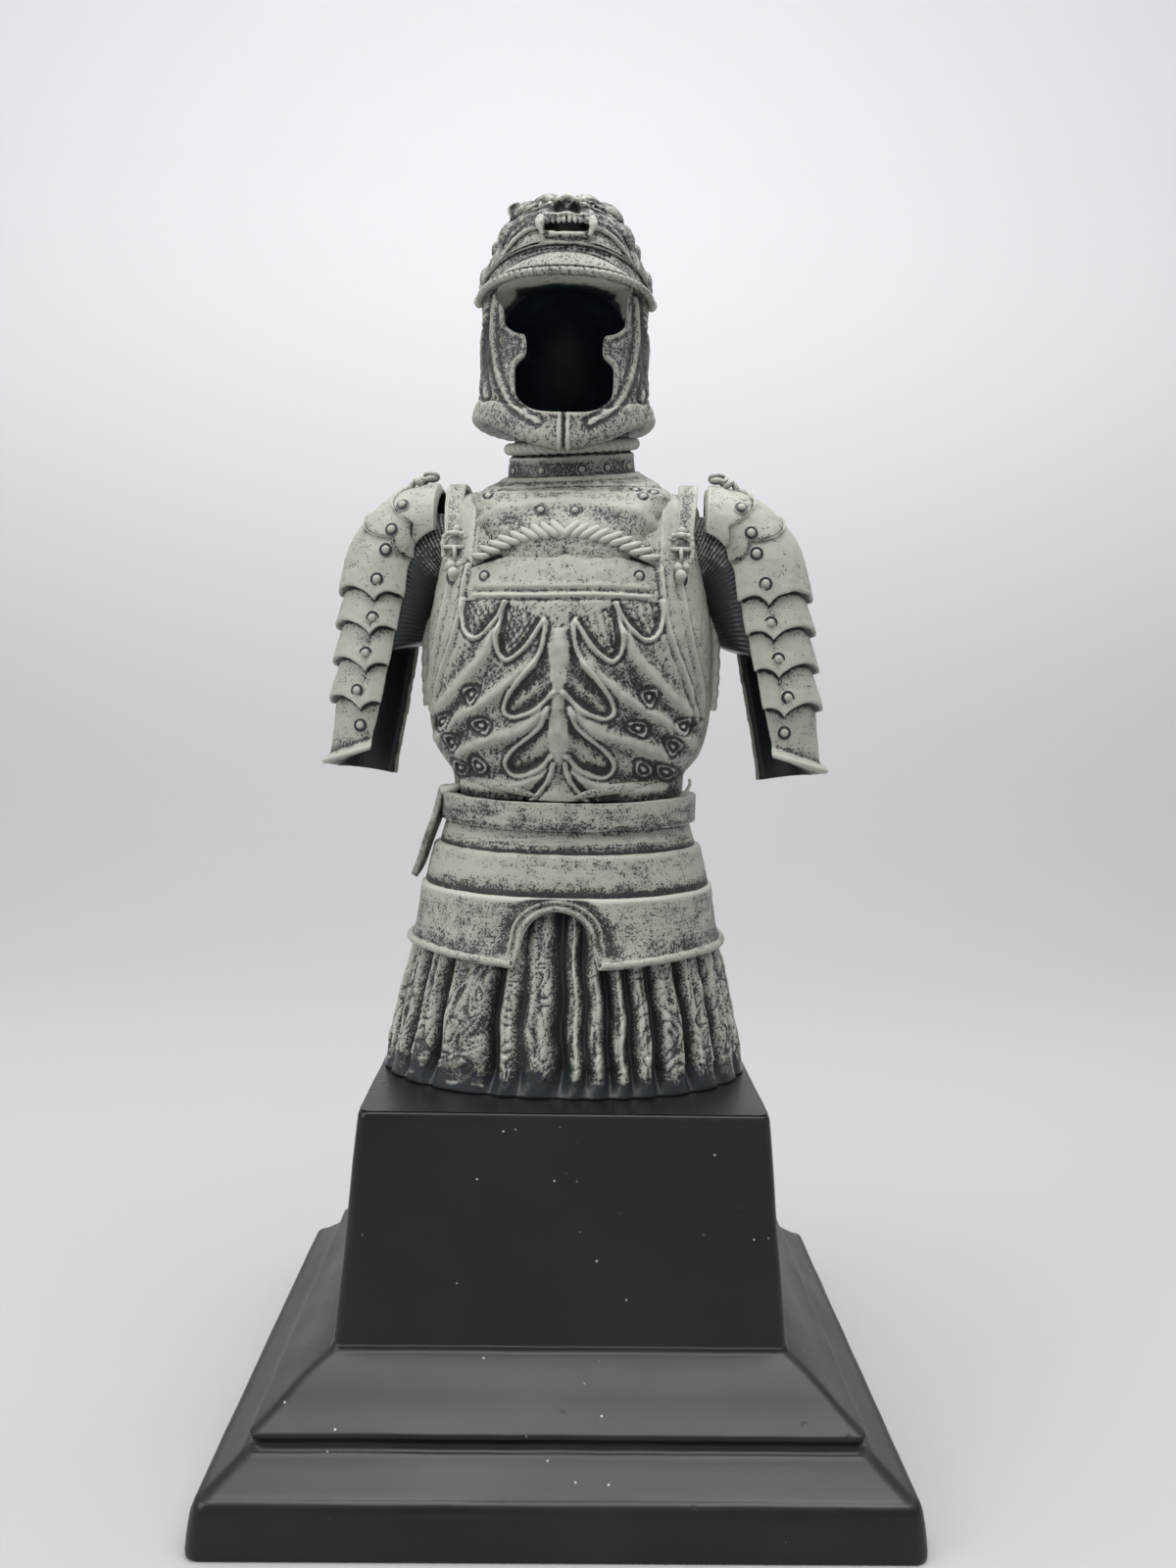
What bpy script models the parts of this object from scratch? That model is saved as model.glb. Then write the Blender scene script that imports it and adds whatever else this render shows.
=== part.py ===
"""Armoured bust on a moulded plinth: a cast ornament about 0.3 m tall.

Two solids: the plinth, and the bust, which is a suit of parade armour cast in one with its helmet,
arm guards and pleated skirt. Lengths are in metres, +Z is up and the bust looks along -Y.
The bust's own sizes are written in figure units, U, which are millimetres at its real height.
"""

import math

import bmesh
import bpy
from mathutils import Matrix, Vector

MM = 0.001

# Driving sizes of the bust
FIGURE_HEIGHT = 212 * MM
FIGURE_TURN = math.radians(-4.5)
U = FIGURE_HEIGHT / 212
JOINT_GAP = 0.3 * MM

# Driving sizes of the plinth, each measured on one side
SKIRT_WIDTH = 87.6 * U
BLOCK_LEDGE = 1.3 * MM
BLOCK_HEIGHT = 50.4 * MM
BLOCK_DRAFT = 4.3 * MM
UPPER_SLOPE_RUN = 15 * MM
UPPER_SLOPE_RISE = 12.2 * MM
FILLET_RISE = 2.8 * MM
FILLET_RUN = 0.6 * MM
LOWER_SLOPE_RUN = 8.5 * MM
LOWER_SLOPE_RISE = 5.7 * MM
EDGE_HEIGHT = 11.6 * MM
EDGE_FLARE = 1.6 * MM
CORNER_RADIUS = 2.4 * MM

PLINTH_HEIGHT = EDGE_HEIGHT + LOWER_SLOPE_RISE + FILLET_RISE + UPPER_SLOPE_RISE + BLOCK_HEIGHT
FIGURE_FOOT = PLINTH_HEIGHT + JOINT_GAP

# Heights on the bust above its foot
BREAST_EDGE = 117.6 * U
FAULD_RIM = 31.6 * U
FAULD_RIM_DIP = 2.4 * U
NOTCH_HALF_WIDTH = 8.2 * U
NOTCH_RISE = 12.6 * U
HELMET_BASE = 156.5 * U
HELMET_CHIN_DROP = 9.2 * U
HELMET_SHIFT = -2.7 * U
BRIM_REACH = 4.4 * U
NECK_SHIFT = -0.6 * U
COLLAR_DIP = 0.2
COLLAR_TILT = 0.05

# (height, half width, front depth, back depth) of the skirt
SKIRT = (
    (0, 43.8, 34.6, 34),
    (14, 41.1, 32.5, 32),
    (30, 37.2, 29.6, 29),
    (44, 33, 26.5, 26),
)
PLEAT_DEPTH = 1.5 * U
# (angle in degrees from the front towards +X, share of the depth) of each valley between two pleats
PLEATS = (
    (-165, 1), (-147, 1), (-130, 1), (-114, 1), (-98, 1), (-83, 1), (-68, 1), (-54, 0.8), (-40.4, 1),
    (-17.9, 1.3), (-9.2, 0.5), (1.5, 1.3), (8.2, 0.7), (15.5, 1.2), (22.8, 0.8), (31.8, 1), (45.3, 1),
    (60, 1), (75, 1), (91, 1), (107, 1), (124, 1), (141, 1), (158, 1), (176, 1),
)

# (height, half width, front depth, back depth) of the lames, belt and cuirass above the rim
CUIRASS = (
    (45.4, 35.8, 30, 29),
    (45.7, 34.8, 29, 28),
    (54.9, 32.6, 27.4, 26.4),
    (55.2, 31.6, 26.4, 25.4),
    (61.1, 29.7, 25, 24),
    (61.4, 30.8, 26.2, 25),
    (67.2, 30.9, 26.4, 25),
    (67.6, 28.2, 23.8, 22.8),
    (71.5, 28.2, 24, 23),
    (77.3, 32, 26.6, 25),
    (84, 34, 28.8, 26),
    (93, 34.8, 30.4, 27),
    (104, 34.7, 30.8, 27.4),
    (116, 33.2, 28.9, 26.4),
    (125, 31.8, 25.6, 24.8),
    (132, 31.1, 21.8, 22),
    (136.6, 30.6, 17.2, 18.2),
    (139.6, 27.6, 11.4, 12.4),
)
CUIRASS_COLUMNS = 28

# (height, half width, front depth, back depth) of the gorget plate and its collar
GORGET = (
    (121, 19.6, 27, 24),
    (128, 21.8, 26, 23.4),
    (134, 23.8, 23, 21),
    (138.4, 24.6, 19.6, 18.6),
    (140.6, 23.4, 17.4, 17),
    (144.4, 17, 15.4, 15.4),
    (144.8, 15.6, 14.2, 14.2),
    (149, 15.1, 13.7, 13.7),
    (150.2, 14.4, 13, 13),
    (150.8, 16, 14.6, 14.6),
    (152.9, 16, 14.6, 14.6),
    (153.3, 14, 13, 13),
    (164, 13, 12, 12),
)
GORGET_COLUMNS = 18

# (height, half width, front depth, back depth) of the helmet above its lower band
HELMET = (
    (163.4, 20.8, 22.4, 24.4),
    (170, 20, 21.4, 24),
    (178, 20, 21, 24),
    (186, 20.2, 21.2, 24.2),
    (191, 20.4, 21.2, 24.2),
    (196, 19.4, 20.6, 23.4),
    (200.6, 17, 18.6, 21.4),
    (204.4, 13.6, 15.2, 17.6),
    (207, 8.6, 10, 11.6),
    (208.2, 3.4, 4, 5),
)
HELMET_COLUMNS = 22

# One half of the face opening, from its top centre to its foot: (half width, height)
FACE_OPENING = (
    (14.9, 186.3),
    (14.8, 180.6),
    (14.2, 176.8),
    (11.8, 174.5),
    (9.7, 173.7),
    (9.1, 172.4),
    (9.2, 169.2),
    (11.4, 167.3),
    (11.8, 164.8),
    (11.4, 160),
    (8.8, 157),
    (4.8, 155.5),
)

# The arm guard: an elbow bent over the shoulder, then a straight arm that leans out
SHOULDER_X = 32
SHOULDER_HEIGHT = 118.6
ELBOW_RADIUS = 12.4
ELBOW_START = math.radians(0)
ELBOW_END = math.radians(81.6)
ARM_LENGTH = 49.4
ARM_FRONT_EDGE = math.radians(-115)
CUFF_FRONT_EDGE = math.radians(-103)
ARM_BACK_EDGE = math.radians(127)
ARM_WALL = 2.6 * U
ARM_SWAY = 1 * U
CUFF_SLANT = 7 * U
SCALLOP_DEPTH = 2.6 * U
RIVET_LINE = math.radians(-83)
ARM_COLUMNS = 11
# (end of each plate along the arm, how far its edge stands over the next) for the arm guard
PLATES = ((5, -1.1), (10.2, -0.8), (25.4, 1), (33.7, 1), (42.6, 1), (51.9, 1))
# (place along the arm, turn from its outermost line in degrees) of each rivet
RIVETS_ON_ARM = ((5.6, -55), (9.4, -75), (13.4, -85), (20.4, -84), (29.4, -84), (37.6, -81), (46.8, -74), (54.4, -84))
ARM_BORE_COLUMNS = 7

# (distance out from the shoulder, height above it, half width, half depth, lean in degrees) of the mail sleeve
SLEEVE = (
    (-6, 9.4, 6, 9, 80),
    (1, 8.4, 9, 10.4, 62),
    (6.6, 2.4, 9.6, 11.3, 38),
    (10, -6.6, 9, 11.1, 14),
    (13, -17.3, 8.4, 10.8, -14),
)
SLEEVE_COLUMNS = 11

METAL = (0.46, 0.47, 0.42, 1)
BLACK = (0.02, 0.022, 0.024, 1)


def material(name, colour, roughness, metallic):
    made = bpy.data.materials.new(name)
    made.use_nodes = True
    shader = made.node_tree.nodes["Principled BSDF"]
    shader.inputs["Base Color"].default_value = colour
    shader.inputs["Roughness"].default_value = roughness
    shader.inputs["Metallic"].default_value = metallic
    return made


def closed_object(name, points, faces):
    """An object made of these points and faces, with its faces turned outwards."""
    mesh = bpy.data.meshes.new(name)
    mesh.from_pydata([tuple(p) for p in points], [], faces)
    shape = bmesh.new()
    shape.from_mesh(mesh)
    bmesh.ops.recalc_face_normals(shape, faces=shape.faces)
    bmesh.ops.triangulate(shape, faces=shape.faces)
    if shape.calc_volume(signed=True) < 0:
        bmesh.ops.reverse_faces(shape, faces=shape.faces)
    shape.to_mesh(mesh)
    shape.free()
    mesh.shade_smooth()
    mesh.set_sharp_from_angle(angle=math.radians(32))
    made = bpy.data.objects.new(name, mesh)
    bpy.context.scene.collection.objects.link(made)
    return made


def loft(name, rings, tips=(None, None)):
    """A solid through closed rings of equally many points, with a fan to a tip at each end."""
    count = len(rings[0])
    points = [p for ring in rings for p in ring]
    faces = []
    for row in range(len(rings) - 1):
        for i in range(count):
            j = (i + 1) % count
            low, high = row * count, (row + 1) * count
            faces.append((low + i, low + j, high + j, high + i))
    for row, tip in zip((0, len(rings) - 1), tips):
        points.append(tip or sum((Vector(p) for p in rings[row]), Vector()) / count)
        for i in range(count):
            faces.append((row * count + i, row * count + (i + 1) % count, len(points) - 1))
    return closed_object(name, points, faces)


def signed_power(value, power):
    return math.copysign(abs(value) ** power, value)


def oval(angle, half_width, front, back, squareness=2.3):
    """A point of an oval seen from above; angle 0 is the front and a quarter turn is +X."""
    across = signed_power(math.sin(angle), 2 / squareness)
    along = signed_power(math.cos(angle), 2 / squareness)
    return half_width * across, -(front if along > 0 else back) * along


def between(table, height):
    """The row of a profile table at any height, in figure units."""
    rows = list(table)
    if height <= rows[0][0]:
        return rows[0][1:]
    for low, high in zip(rows, rows[1:]):
        if height <= high[0]:
            share = (height - low[0]) / (high[0] - low[0])
            return tuple(a + (b - a) * share for a, b in zip(low[1:], high[1:]))
    return rows[-1][1:]


def place(x, y, height):
    """A point given in figure units from the bust's foot, turned with the figure."""
    point = Matrix.Rotation(FIGURE_TURN, 3, "Z") @ Vector((x * U, y * U, height * U))
    return point + Vector((0, 0, FIGURE_FOOT))


def place_on_head(x, y, height):
    """A point given from the helmet's own axis; the head looks straight along -Y."""
    return Vector((x * U + HELMET_SHIFT, y * U, height * U + FIGURE_FOOT))


def front_of(table, x, height):
    """How far forward the surface of a profile table lies at x and height, in figure units."""
    half_width, front, _ = between(table, height)
    share = min(abs(x) / half_width, 0.98)
    return -front * (1 - share**2.3) ** (1 / 2.3)


def bead(name, path, radius, sides=5, put=place):
    """A closed bar along a path of points in figure units; with three sides it is a ridge."""
    points = [put(*p) for p in path]
    rings = []
    for i, centre in enumerate(points):
        ahead = (points[min(i + 1, len(points) - 1)] - points[max(i - 1, 0)]).normalized()
        side = ahead.cross(Vector((0, -1, 0.001))).normalized()
        out = side.cross(ahead)
        turn = [math.pi / 2 + 2 * math.pi * k / sides for k in range(sides)]
        rings.append([centre + (side * math.cos(t) + out * math.sin(t)) * radius * U for t in turn])
    return loft(name, rings)


def lump(name, centre, size, turn=0.0, segments=8, rings=5, put=place):
    """A rounded lump: an ellipsoid in figure units, turned about the front-to-back line."""
    spin = Matrix.Rotation(turn, 3, "Y")

    def at(level, around):
        across = math.sin(level)
        offset = Vector((across * math.cos(around), across * math.sin(around), -math.cos(level)))
        offset = spin @ Vector((offset.x * size[0], offset.y * size[1], offset.z * size[2]))
        return put(centre[0] + offset.x, centre[1] + offset.y, centre[2] + offset.z)

    around = [2 * math.pi * k / segments for k in range(segments)]
    rows = [[at(math.pi * r / rings, turn) for turn in around] for r in range(1, rings)]
    return loft(name, rows, (at(0, 0), at(math.pi, 0)))


def dome(name, centre, radius, rise):
    """A rivet's round head that faces forwards, in figure units."""
    x, y, height = centre
    rings = []
    for share, ahead in ((1, -1), (0.86, 0.5 * rise)):
        ring = []
        for k in range(6):
            turn = 2 * math.pi * k / 6
            ring.append(place(x + share * radius * math.cos(turn), y - ahead, height + share * radius * math.sin(turn)))
        rings.append(ring)
    return loft(name, rings, (None, place(x, y - rise, height)))


def rounded_square(half, height, steps=2):
    """A square ring with rounded corners."""
    ring = []
    for corner in range(4):
        for step in range(steps + 1):
            angle = math.pi / 2 * (corner + step / steps)
            centre = Vector((half - CORNER_RADIUS, half - CORNER_RADIUS))
            centre.rotate(Matrix.Rotation(math.pi / 2 * corner, 2))
            x = centre.x + CORNER_RADIUS * math.cos(angle)
            y = centre.y + CORNER_RADIUS * math.sin(angle)
            ring.append(Vector((x, y, height)))
    return ring


def plinth():
    """The square block on its moulded base, from the foot up."""
    block_top = SKIRT_WIDTH / 2 + BLOCK_LEDGE
    block_foot = block_top + BLOCK_DRAFT
    fillet_top = block_foot + UPPER_SLOPE_RUN
    fillet_foot = fillet_top + FILLET_RUN
    edge_top = fillet_foot + LOWER_SLOPE_RUN
    edge_foot = edge_top + EDGE_FLARE
    lower_slope = EDGE_HEIGHT + LOWER_SLOPE_RISE
    upper_slope = lower_slope + FILLET_RISE
    block_base = upper_slope + UPPER_SLOPE_RISE
    round_edge = 0.15 * EDGE_HEIGHT
    slope_bulge = 0.12 * UPPER_SLOPE_RUN
    chamfer = 0.01 * BLOCK_HEIGHT
    profile = (
        (edge_foot - EDGE_FLARE / 3, 0),
        (edge_foot, round_edge),
        (edge_foot - EDGE_FLARE / 4, EDGE_HEIGHT / 2),
        (edge_top, EDGE_HEIGHT - round_edge / 2),
        (edge_top - round_edge, EDGE_HEIGHT),
        (fillet_foot, lower_slope),
        (fillet_top - FILLET_RUN, lower_slope + FILLET_RISE / 3),
        (fillet_top, upper_slope),
        ((fillet_top + block_foot) / 2 + slope_bulge, upper_slope + UPPER_SLOPE_RISE / 2),
        (block_foot + slope_bulge / 3, block_base - chamfer),
        (block_foot, block_base + chamfer),
        (block_top, PLINTH_HEIGHT - chamfer),
        (block_top - chamfer, PLINTH_HEIGHT),
    )
    return loft("plinth", [rounded_square(half, height) for half, height in profile])


def pleat_angles():
    """The angle of every valley and crest of the skirt, with its share of the pleat's depth."""
    turns = []
    for i, (valley, depth) in enumerate(PLEATS):
        following = PLEATS[i + 1][0] if i + 1 < len(PLEATS) else PLEATS[0][0] + 360
        span = following - valley
        turns += [(valley, -depth), (valley + 0.3 * span, 0.8), (valley + 0.7 * span, 1)]
    return [(math.radians(angle), depth) for angle, depth in turns]


def skirt():
    rings = []
    for height, half_width, front, back in SKIRT:
        ring = []
        for angle, depth in pleat_angles():
            x, y = oval(angle, half_width, front, back, 2.2)
            fold = 1 + depth * PLEAT_DEPTH / U / math.hypot(x, y) * (1 - height / 90)
            ring.append(place(x * fold, y * fold, height))
        rings.append(ring)
    return loft("skirt", rings)


def column_angles(count):
    """Angles round the body from -180 degrees, set closer together towards the front."""
    turns = [-1 + 2 * i / count for i in range(count)]
    return [math.pi * (t * (0.72 + 0.28 * abs(t))) for t in turns]


def cuirass():
    """The belly lames, belt and cuirass in one stepped solid, from the rolled rim up."""
    rim = FAULD_RIM / U
    dip = FAULD_RIM_DIP / U
    rim_rows = ((0, 33, 27, 27), (0, 37.9, 31.8, 30.6), (1.5, 38.6, 32.4, 31.2), (2.4, 37.5, 31.2, 30.2))
    angles = column_angles(CUIRASS_COLUMNS)
    rings = []
    for lift, half_width, front, back in rim_rows:
        ring = []
        for angle in angles:
            x, y = oval(angle, half_width, front, back)
            drop = dip * max(math.cos(angle), 0) ** 4
            ring.append(place(x, y, rim + lift - drop))
        rings.append(ring)
    for height, half_width, front, back in CUIRASS:
        rings.append([place(*oval(a, half_width, front, back), height) for a in angles])
    return loft("bust", rings)


def notch_outline(half_width, steps=8):
    """The arch over the front of the skirt: (x, height) from its left foot to its right."""
    foot = (FAULD_RIM - FAULD_RIM_DIP) / U
    top = foot + NOTCH_RISE / U
    spring = top - half_width
    points = [(-half_width * 1.12, foot - 0.6), (-half_width, foot + 2)]
    for i in range(steps + 1):
        angle = math.pi * (1 - i / steps)
        points.append((half_width * math.cos(angle), spring + half_width * math.sin(angle)))
    return points + [(half_width, foot + 2), (half_width * 1.12, foot - 0.6)]


def prism(name, outline, y_front, y_back):
    """A closed block with this outline of (x, height), between two depths."""
    front = [place(x, y_front, height) for x, height in outline]
    back = [place(x, y_back, height) for x, height in outline]
    return loft(name, [front, back])


def gorget():
    rings = []
    for height, half_width, front, back in GORGET:
        share = min(max((height - 138) / 6, 0), 1)
        squareness = 3.4 - 1.3 * share
        ring = []
        for i in range(GORGET_COLUMNS):
            x, y = oval(math.pi * (2 * i / GORGET_COLUMNS - 1), half_width, front, back, squareness)
            lean = share * (COLLAR_DIP * y + COLLAR_TILT * x)
            ring.append(place(x + NECK_SHIFT / U * share, y, height + lean))
        rings.append(ring)
    return loft("gorget", rings)


def helmet():
    """The helmet's outer form, with its lower band dipping to the chin."""
    base = HELMET_BASE / U
    chin = HELMET_CHIN_DROP / U
    band = ((0, 17, 18.6, 20), (0, 20.6, 21.6, 24.4), (1.2, 22.4, 23.4, 26.4), (4.4, 21.6, 23, 25))
    angles = column_angles(HELMET_COLUMNS)
    rings = []
    for lift, half_width, front, back in band:
        ring = []
        for angle in angles:
            x, y = oval(angle, half_width, front, back, 2.1)
            drop = chin * max(math.cos(angle), 0) ** 2.4
            ring.append(place_on_head(x, y, base + lift * (1 + drop / 12) - drop))
        rings.append(ring)
    for height, half_width, front, back in HELMET:
        ovals = [oval(angle, half_width, front, back, 2.1) for angle in angles]
        rings.append([place_on_head(x, y, height) for x, y in ovals])
    return loft("helmet", rings)


def brim():
    """The peak over the face: a plate from temple to temple, with a thick roped edge."""
    steps = 16
    rings = []
    for i in range(steps + 1):
        angle = math.radians(82) * (2 * i / steps - 1)
        reach = max(math.cos(angle * 0.9), 0)
        edge = 182 + 4 * reach
        out = 20.6 + BRIM_REACH / U * reach**1.6
        section = (
            (18, edge + 7),
            (20.7 + 0.3 * reach, edge + 7),
            (out - 0.2, edge + 2.4),
            (out + 0.7, edge + 1.2),
            (out + 0.3, edge - 0.4),
            (out - 1.2, edge),
            (18, edge + 1.6),
        )
        rings.append([place_on_head(*oval(angle, r, r, r, 2.1), height) for r, height in section])
    return loft("brim", rings)


def on_helmet(angle, height, lift=0.0):
    half_width, front, back = between(HELMET, height)
    x, y = oval(angle, half_width + lift, front + lift, back + lift, 2.1)
    return x, y, height


def beast_mask():
    """The beast's muzzle, fangs, brows and mane on the front of the helmet."""
    pieces = [lump("nose", (0, -17.2, 202), (3.4, 3.4, 2.8), 0, 6, 4, place_on_head)]
    for side in (-1, 1):
        parts = (
            ("muzzle", (5.2, -16.4, 200.6), (4.6, 3.8, 2.6), 0.3),
            ("cheek", (11.6, -12.2, 198.2), (4.6, 4.6, 3.5), 0.7),
            ("eyebrow", (7, -8, 205.4), (5.8, 4.8, 3.1), 0.3),
            ("ear", (13.4, -2, 202.6), (3.5, 4.2, 3.8), 0.8),
            ("mane", (18.2, -2.6, 197), (3, 5, 4.4), 0.5),
            ("mane", (20, -1, 188.6), (2.8, 4.6, 4.8), 0.1),
        )
        for name, (x, y, height), size, turn in parts:
            pieces.append(lump(name, (side * x, y, height), size, side * turn, 6, 4, place_on_head))
        fang = (side * 6, -20.6, 196.4)
        pieces.append(lump("fang", fang, (1, 1.4, 2.6), -0.15 * side, 5, 3, place_on_head))
    jaw = [(x, on_helmet(x / 21, 196)[1] - 0.3, 196) for x in (-6, -2, 2, 6)]
    pieces.append(bead("lower_jaw", jaw, 1.1, 4, place_on_head))
    band = [on_helmet(math.radians(13 * k), 193.6 - 0.2 * k * k, 0.3) for k in range(-5, 6)]
    pieces.append(bead("brow_band", band, 0.8, 3, place_on_head))
    return pieces


def arm_axis(along):
    """The point (x, height) and the outward direction of the arm's centre line."""
    bend = ELBOW_RADIUS * (ELBOW_END - ELBOW_START)
    angle = ELBOW_START + min(along / ELBOW_RADIUS, ELBOW_END - ELBOW_START)
    x = SHOULDER_X + ELBOW_RADIUS * math.sin(angle)
    height = SHOULDER_HEIGHT + ELBOW_RADIUS * math.cos(angle)
    rest = max(along - bend, 0)
    return x + rest * math.cos(angle), height - rest * math.sin(angle), angle


def arm_radius(along):
    """How far the plates stand from the centre line, outwards and front to back."""
    share = min(max((along - 14) / ARM_LENGTH, 0), 1)
    return 11.8 - 2.4 * share, 12.6 - 1.6 * share


def arm_point(side, along, turn, lift):
    """A point on the arm guard: along the arm, turned from its outermost line, and lifted."""
    x, height, angle = arm_axis(along)
    out, deep = arm_radius(along)
    outward = (out + lift) * math.cos(turn)
    y = (deep + lift) * math.sin(turn)
    sway = ARM_SWAY / U * min(along / ARM_LENGTH, 1)
    return place(side * (x + outward * math.sin(angle)) + sway, y, height + outward * math.cos(angle))


def scallop(turn):
    """How far up the plates' lower edge lies: two scoops that meet in a point at the rivet line."""
    offset = turn - RIVET_LINE
    share = min(abs(offset) / math.radians(45 if offset < 0 else 82), 1)
    return SCALLOP_DEPTH / U * math.sin(math.pi * share**0.75)


def cuff_slant(turn):
    """How much shorter the arm is at its front edge than on its outside and back."""
    return CUFF_SLANT / U * (1 - math.cos(turn)) / (1 - math.cos(ARM_FRONT_EDGE)) if turn < 0 else 0.0


def front_edge(along):
    """The turn of the guard's front edge, which draws back towards the cuff."""
    share = min(max((along - 0.5 * ARM_LENGTH) / (0.75 * ARM_LENGTH), 0), 1)
    return ARM_FRONT_EDGE + (CUFF_FRONT_EDGE - ARM_FRONT_EDGE) * share


def guard_turns(along):
    """The turns of one row's points, from the guard's front edge to its back edge."""
    front = front_edge(along)
    turns = [front + (RIVET_LINE - front) * i / 3 for i in range(3)]
    steps = ARM_COLUMNS - 3
    return turns + [RIVET_LINE + (ARM_BACK_EDGE - RIVET_LINE) * i / steps for i in range(steps + 1)]


def arm_guard(side):
    """The overlapping plates of one arm, each edge standing over the next, hollowed to a gutter."""
    end = ELBOW_RADIUS * (ELBOW_END - ELBOW_START) + ARM_LENGTH
    rows = [(0.0, 0.0, -1.4)]
    for index, (stop, over) in enumerate(PLATES):
        scalloped = 1.0 if index > 1 else -0.8
        lift = max(over, 0.9 + over)
        rows.append((stop - 0.2, scalloped, lift))
        rows.append((stop, scalloped, 0.0 if over > 0 else lift - over))
    rows += [(end - 2.6, 0.0, 0.2), (end - 0.8, 0.0, 1.9), (end, 0.0, 1.5)]
    rings = []
    for along, scalloped, lift in rows:
        slanted = 1.0 if along > end - 4 else 0.0
        turns = guard_turns(along)
        up = [scalloped * scallop(turn) + slanted * cuff_slant(turn) for turn in turns]
        rings.append([arm_point(side, along - u, turn, lift) for turn, u in zip(turns, up)])
    guard = loft("arm_guard", rings)
    cut_or_join(guard, arm_bore(side), "DIFFERENCE")
    return guard


def arm_bore(side):
    """The hollow of one arm guard: it opens towards the body and out at the cuff."""
    bend = ELBOW_RADIUS * (ELBOW_END - ELBOW_START)
    end = bend + ARM_LENGTH
    rings = []
    for along in (2.4, 10, bend + 2, end - 8, end + 4):
        ring = []
        for i in range(ARM_BORE_COLUMNS + 1):
            turn = front_edge(along) + (ARM_BACK_EDGE - front_edge(along)) * i / ARM_BORE_COLUMNS
            ring.append(arm_point(side, along, turn, -ARM_WALL / U))
        ring.append(arm_point(side, along, math.pi * 0.94, -1))
        ring.append(arm_point(side, along, -math.pi * 0.94, -1))
        rings.append(ring)
    return loft("arm_bore", rings)


def sleeve(side):
    """The short mail sleeve between the cuirass and the arm guard, cut off slanting."""
    rings = []
    for x, height, out, deep, lean in SLEEVE:
        ring = []
        for i in range(SLEEVE_COLUMNS):
            turn = 2 * math.pi * i / SLEEVE_COLUMNS
            reach = out * math.cos(turn)
            across = SHOULDER_X + x + reach * math.cos(math.radians(lean))
            up = SHOULDER_HEIGHT + height + reach * math.sin(math.radians(lean))
            ring.append(place(side * across, deep * math.sin(turn), up))
        rings.append(ring)
    return loft("sleeve", rings)


def strap(side):
    """The shoulder strap of the cuirass, over the mail and down to its buckle."""
    stops = [(7, 140.2, 0.1, 1), (-1, 141, -0.2, 1)]
    stops += [(front_of(CUIRASS, 27, height), height, -0.85, 0.5) for height in (137.6, 133, 128, 121)]
    rings = []
    for y, height, ahead, up in stops:
        middle = 26.4 + 0.09 * (height - 122)
        low, high = (y - 1.2 * ahead, height - 1.2 * up), (y + 1.1 * ahead, height + 1.1 * up)
        across = ((-2.4, low), (2.4, low), (2.1, high), (-2.1, high))
        rings.append([place(side * (middle + x), *p) for x, p in across])
    y = front_of(CUIRASS, 26.6, 124) - 0.9
    buckle = lump("buckle", (side * 26.6, y, 124.6), (3.3, 2, 4.3), 0.0, 6, 4)
    y = front_of(CUIRASS, 26.2, 118) - 0.2
    stud = lump("strap_stud", (side * 26.2, y, 118), (2, 1.5, 2), 0.0, 6, 3)
    return [loft("strap", rings), buckle, stud]


def rope_swag():
    """The laurel rope across the chest: strands that spread from the middle."""
    pieces = []
    strands = 5
    for side in (-1, 1):
        for k in range(strands):
            x = side * (2.8 + 16.6 * k / (strands - 1))
            height = 129 - 6.6 * (abs(x) / 20.5) ** 1.6
            y = front_of(CUIRASS, x, height) - 1.1
            pieces.append(lump("strand", (x, y, height), (1.6, 1.9, 3.9), side * (math.pi / 2 - 0.6), 6, 3))
    return pieces


# Half of each embossed line on the breast, as (x, height) from the bust's foot; the rest is mirrored
LOBES = (
    ((22.4, 112.8), (23, 108.6), (21.8, 105), (19.6, 103.8), (17, 105.6), (12.9, 111.2)),
    ((12.7, 111.6), (14.2, 106), (14.1, 101.4), (12.2, 98.9), (9.6, 99.8), (2.8, 108)),
    ((3, 107.4), (3.9, 101.6), (7, 96), (11.4, 90.8), (12.7, 87.4), (10.4, 85.7), (6, 87.2), (1, 91.6)),
    ((2.4, 88.2), (4.2, 83.4), (10.6, 78.2), (12.4, 75), (10.6, 72.2), (6.4, 73.2), (1.6, 76.9)),
)


def on_breast(x, height, lift=0.0):
    return (x, front_of(CUIRASS, x, height) - lift, height)


def embossing():
    """The raised lobes of the breastplate, and the seam down each side."""
    pieces = []
    for side in (-1, 1):
        for line in LOBES:
            path = [on_breast(side * x, height) for x, height in line]
            pieces.append(bead("lobe", path, 1, 3))
        seam = [(side * x, y, h) for x, y, h in ((32.6, -4, 120), (34.8, -3, 111), (35.4, -2, 101), (35.2, -2, 91.4))]
        pieces.append(bead("side_seam", seam, 1.3, 4))
    ridge = [on_breast(-20.6 + 41.2 * i / 8, BREAST_EDGE / U - 4) for i in range(9)]
    pieces.append(bead("breast_ridge", ridge, 1, 3))
    return pieces


def rivets():
    """The domed rivets on the breast and the arm guards."""
    pieces = []
    for x, height, table in ((3.7, 133, GORGET), (17.4, 117.8, CUIRASS)):
        for side in (-1, 1):
            pieces.append(dome("rivet", (side * x, front_of(table, x, height), height), 1.2, 0.9))
    for side in (-1, 1):
        for along, turn in RIVETS_ON_ARM:
            at = arm_point(side, along, math.radians(turn), 0.3) - Vector((0, 0, FIGURE_FOOT))
            on_figure = Matrix.Rotation(-FIGURE_TURN, 3, "Z") @ at
            pieces.append(dome("rivet", tuple(on_figure / U), 1.4, 1.1))
    return pieces


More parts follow.
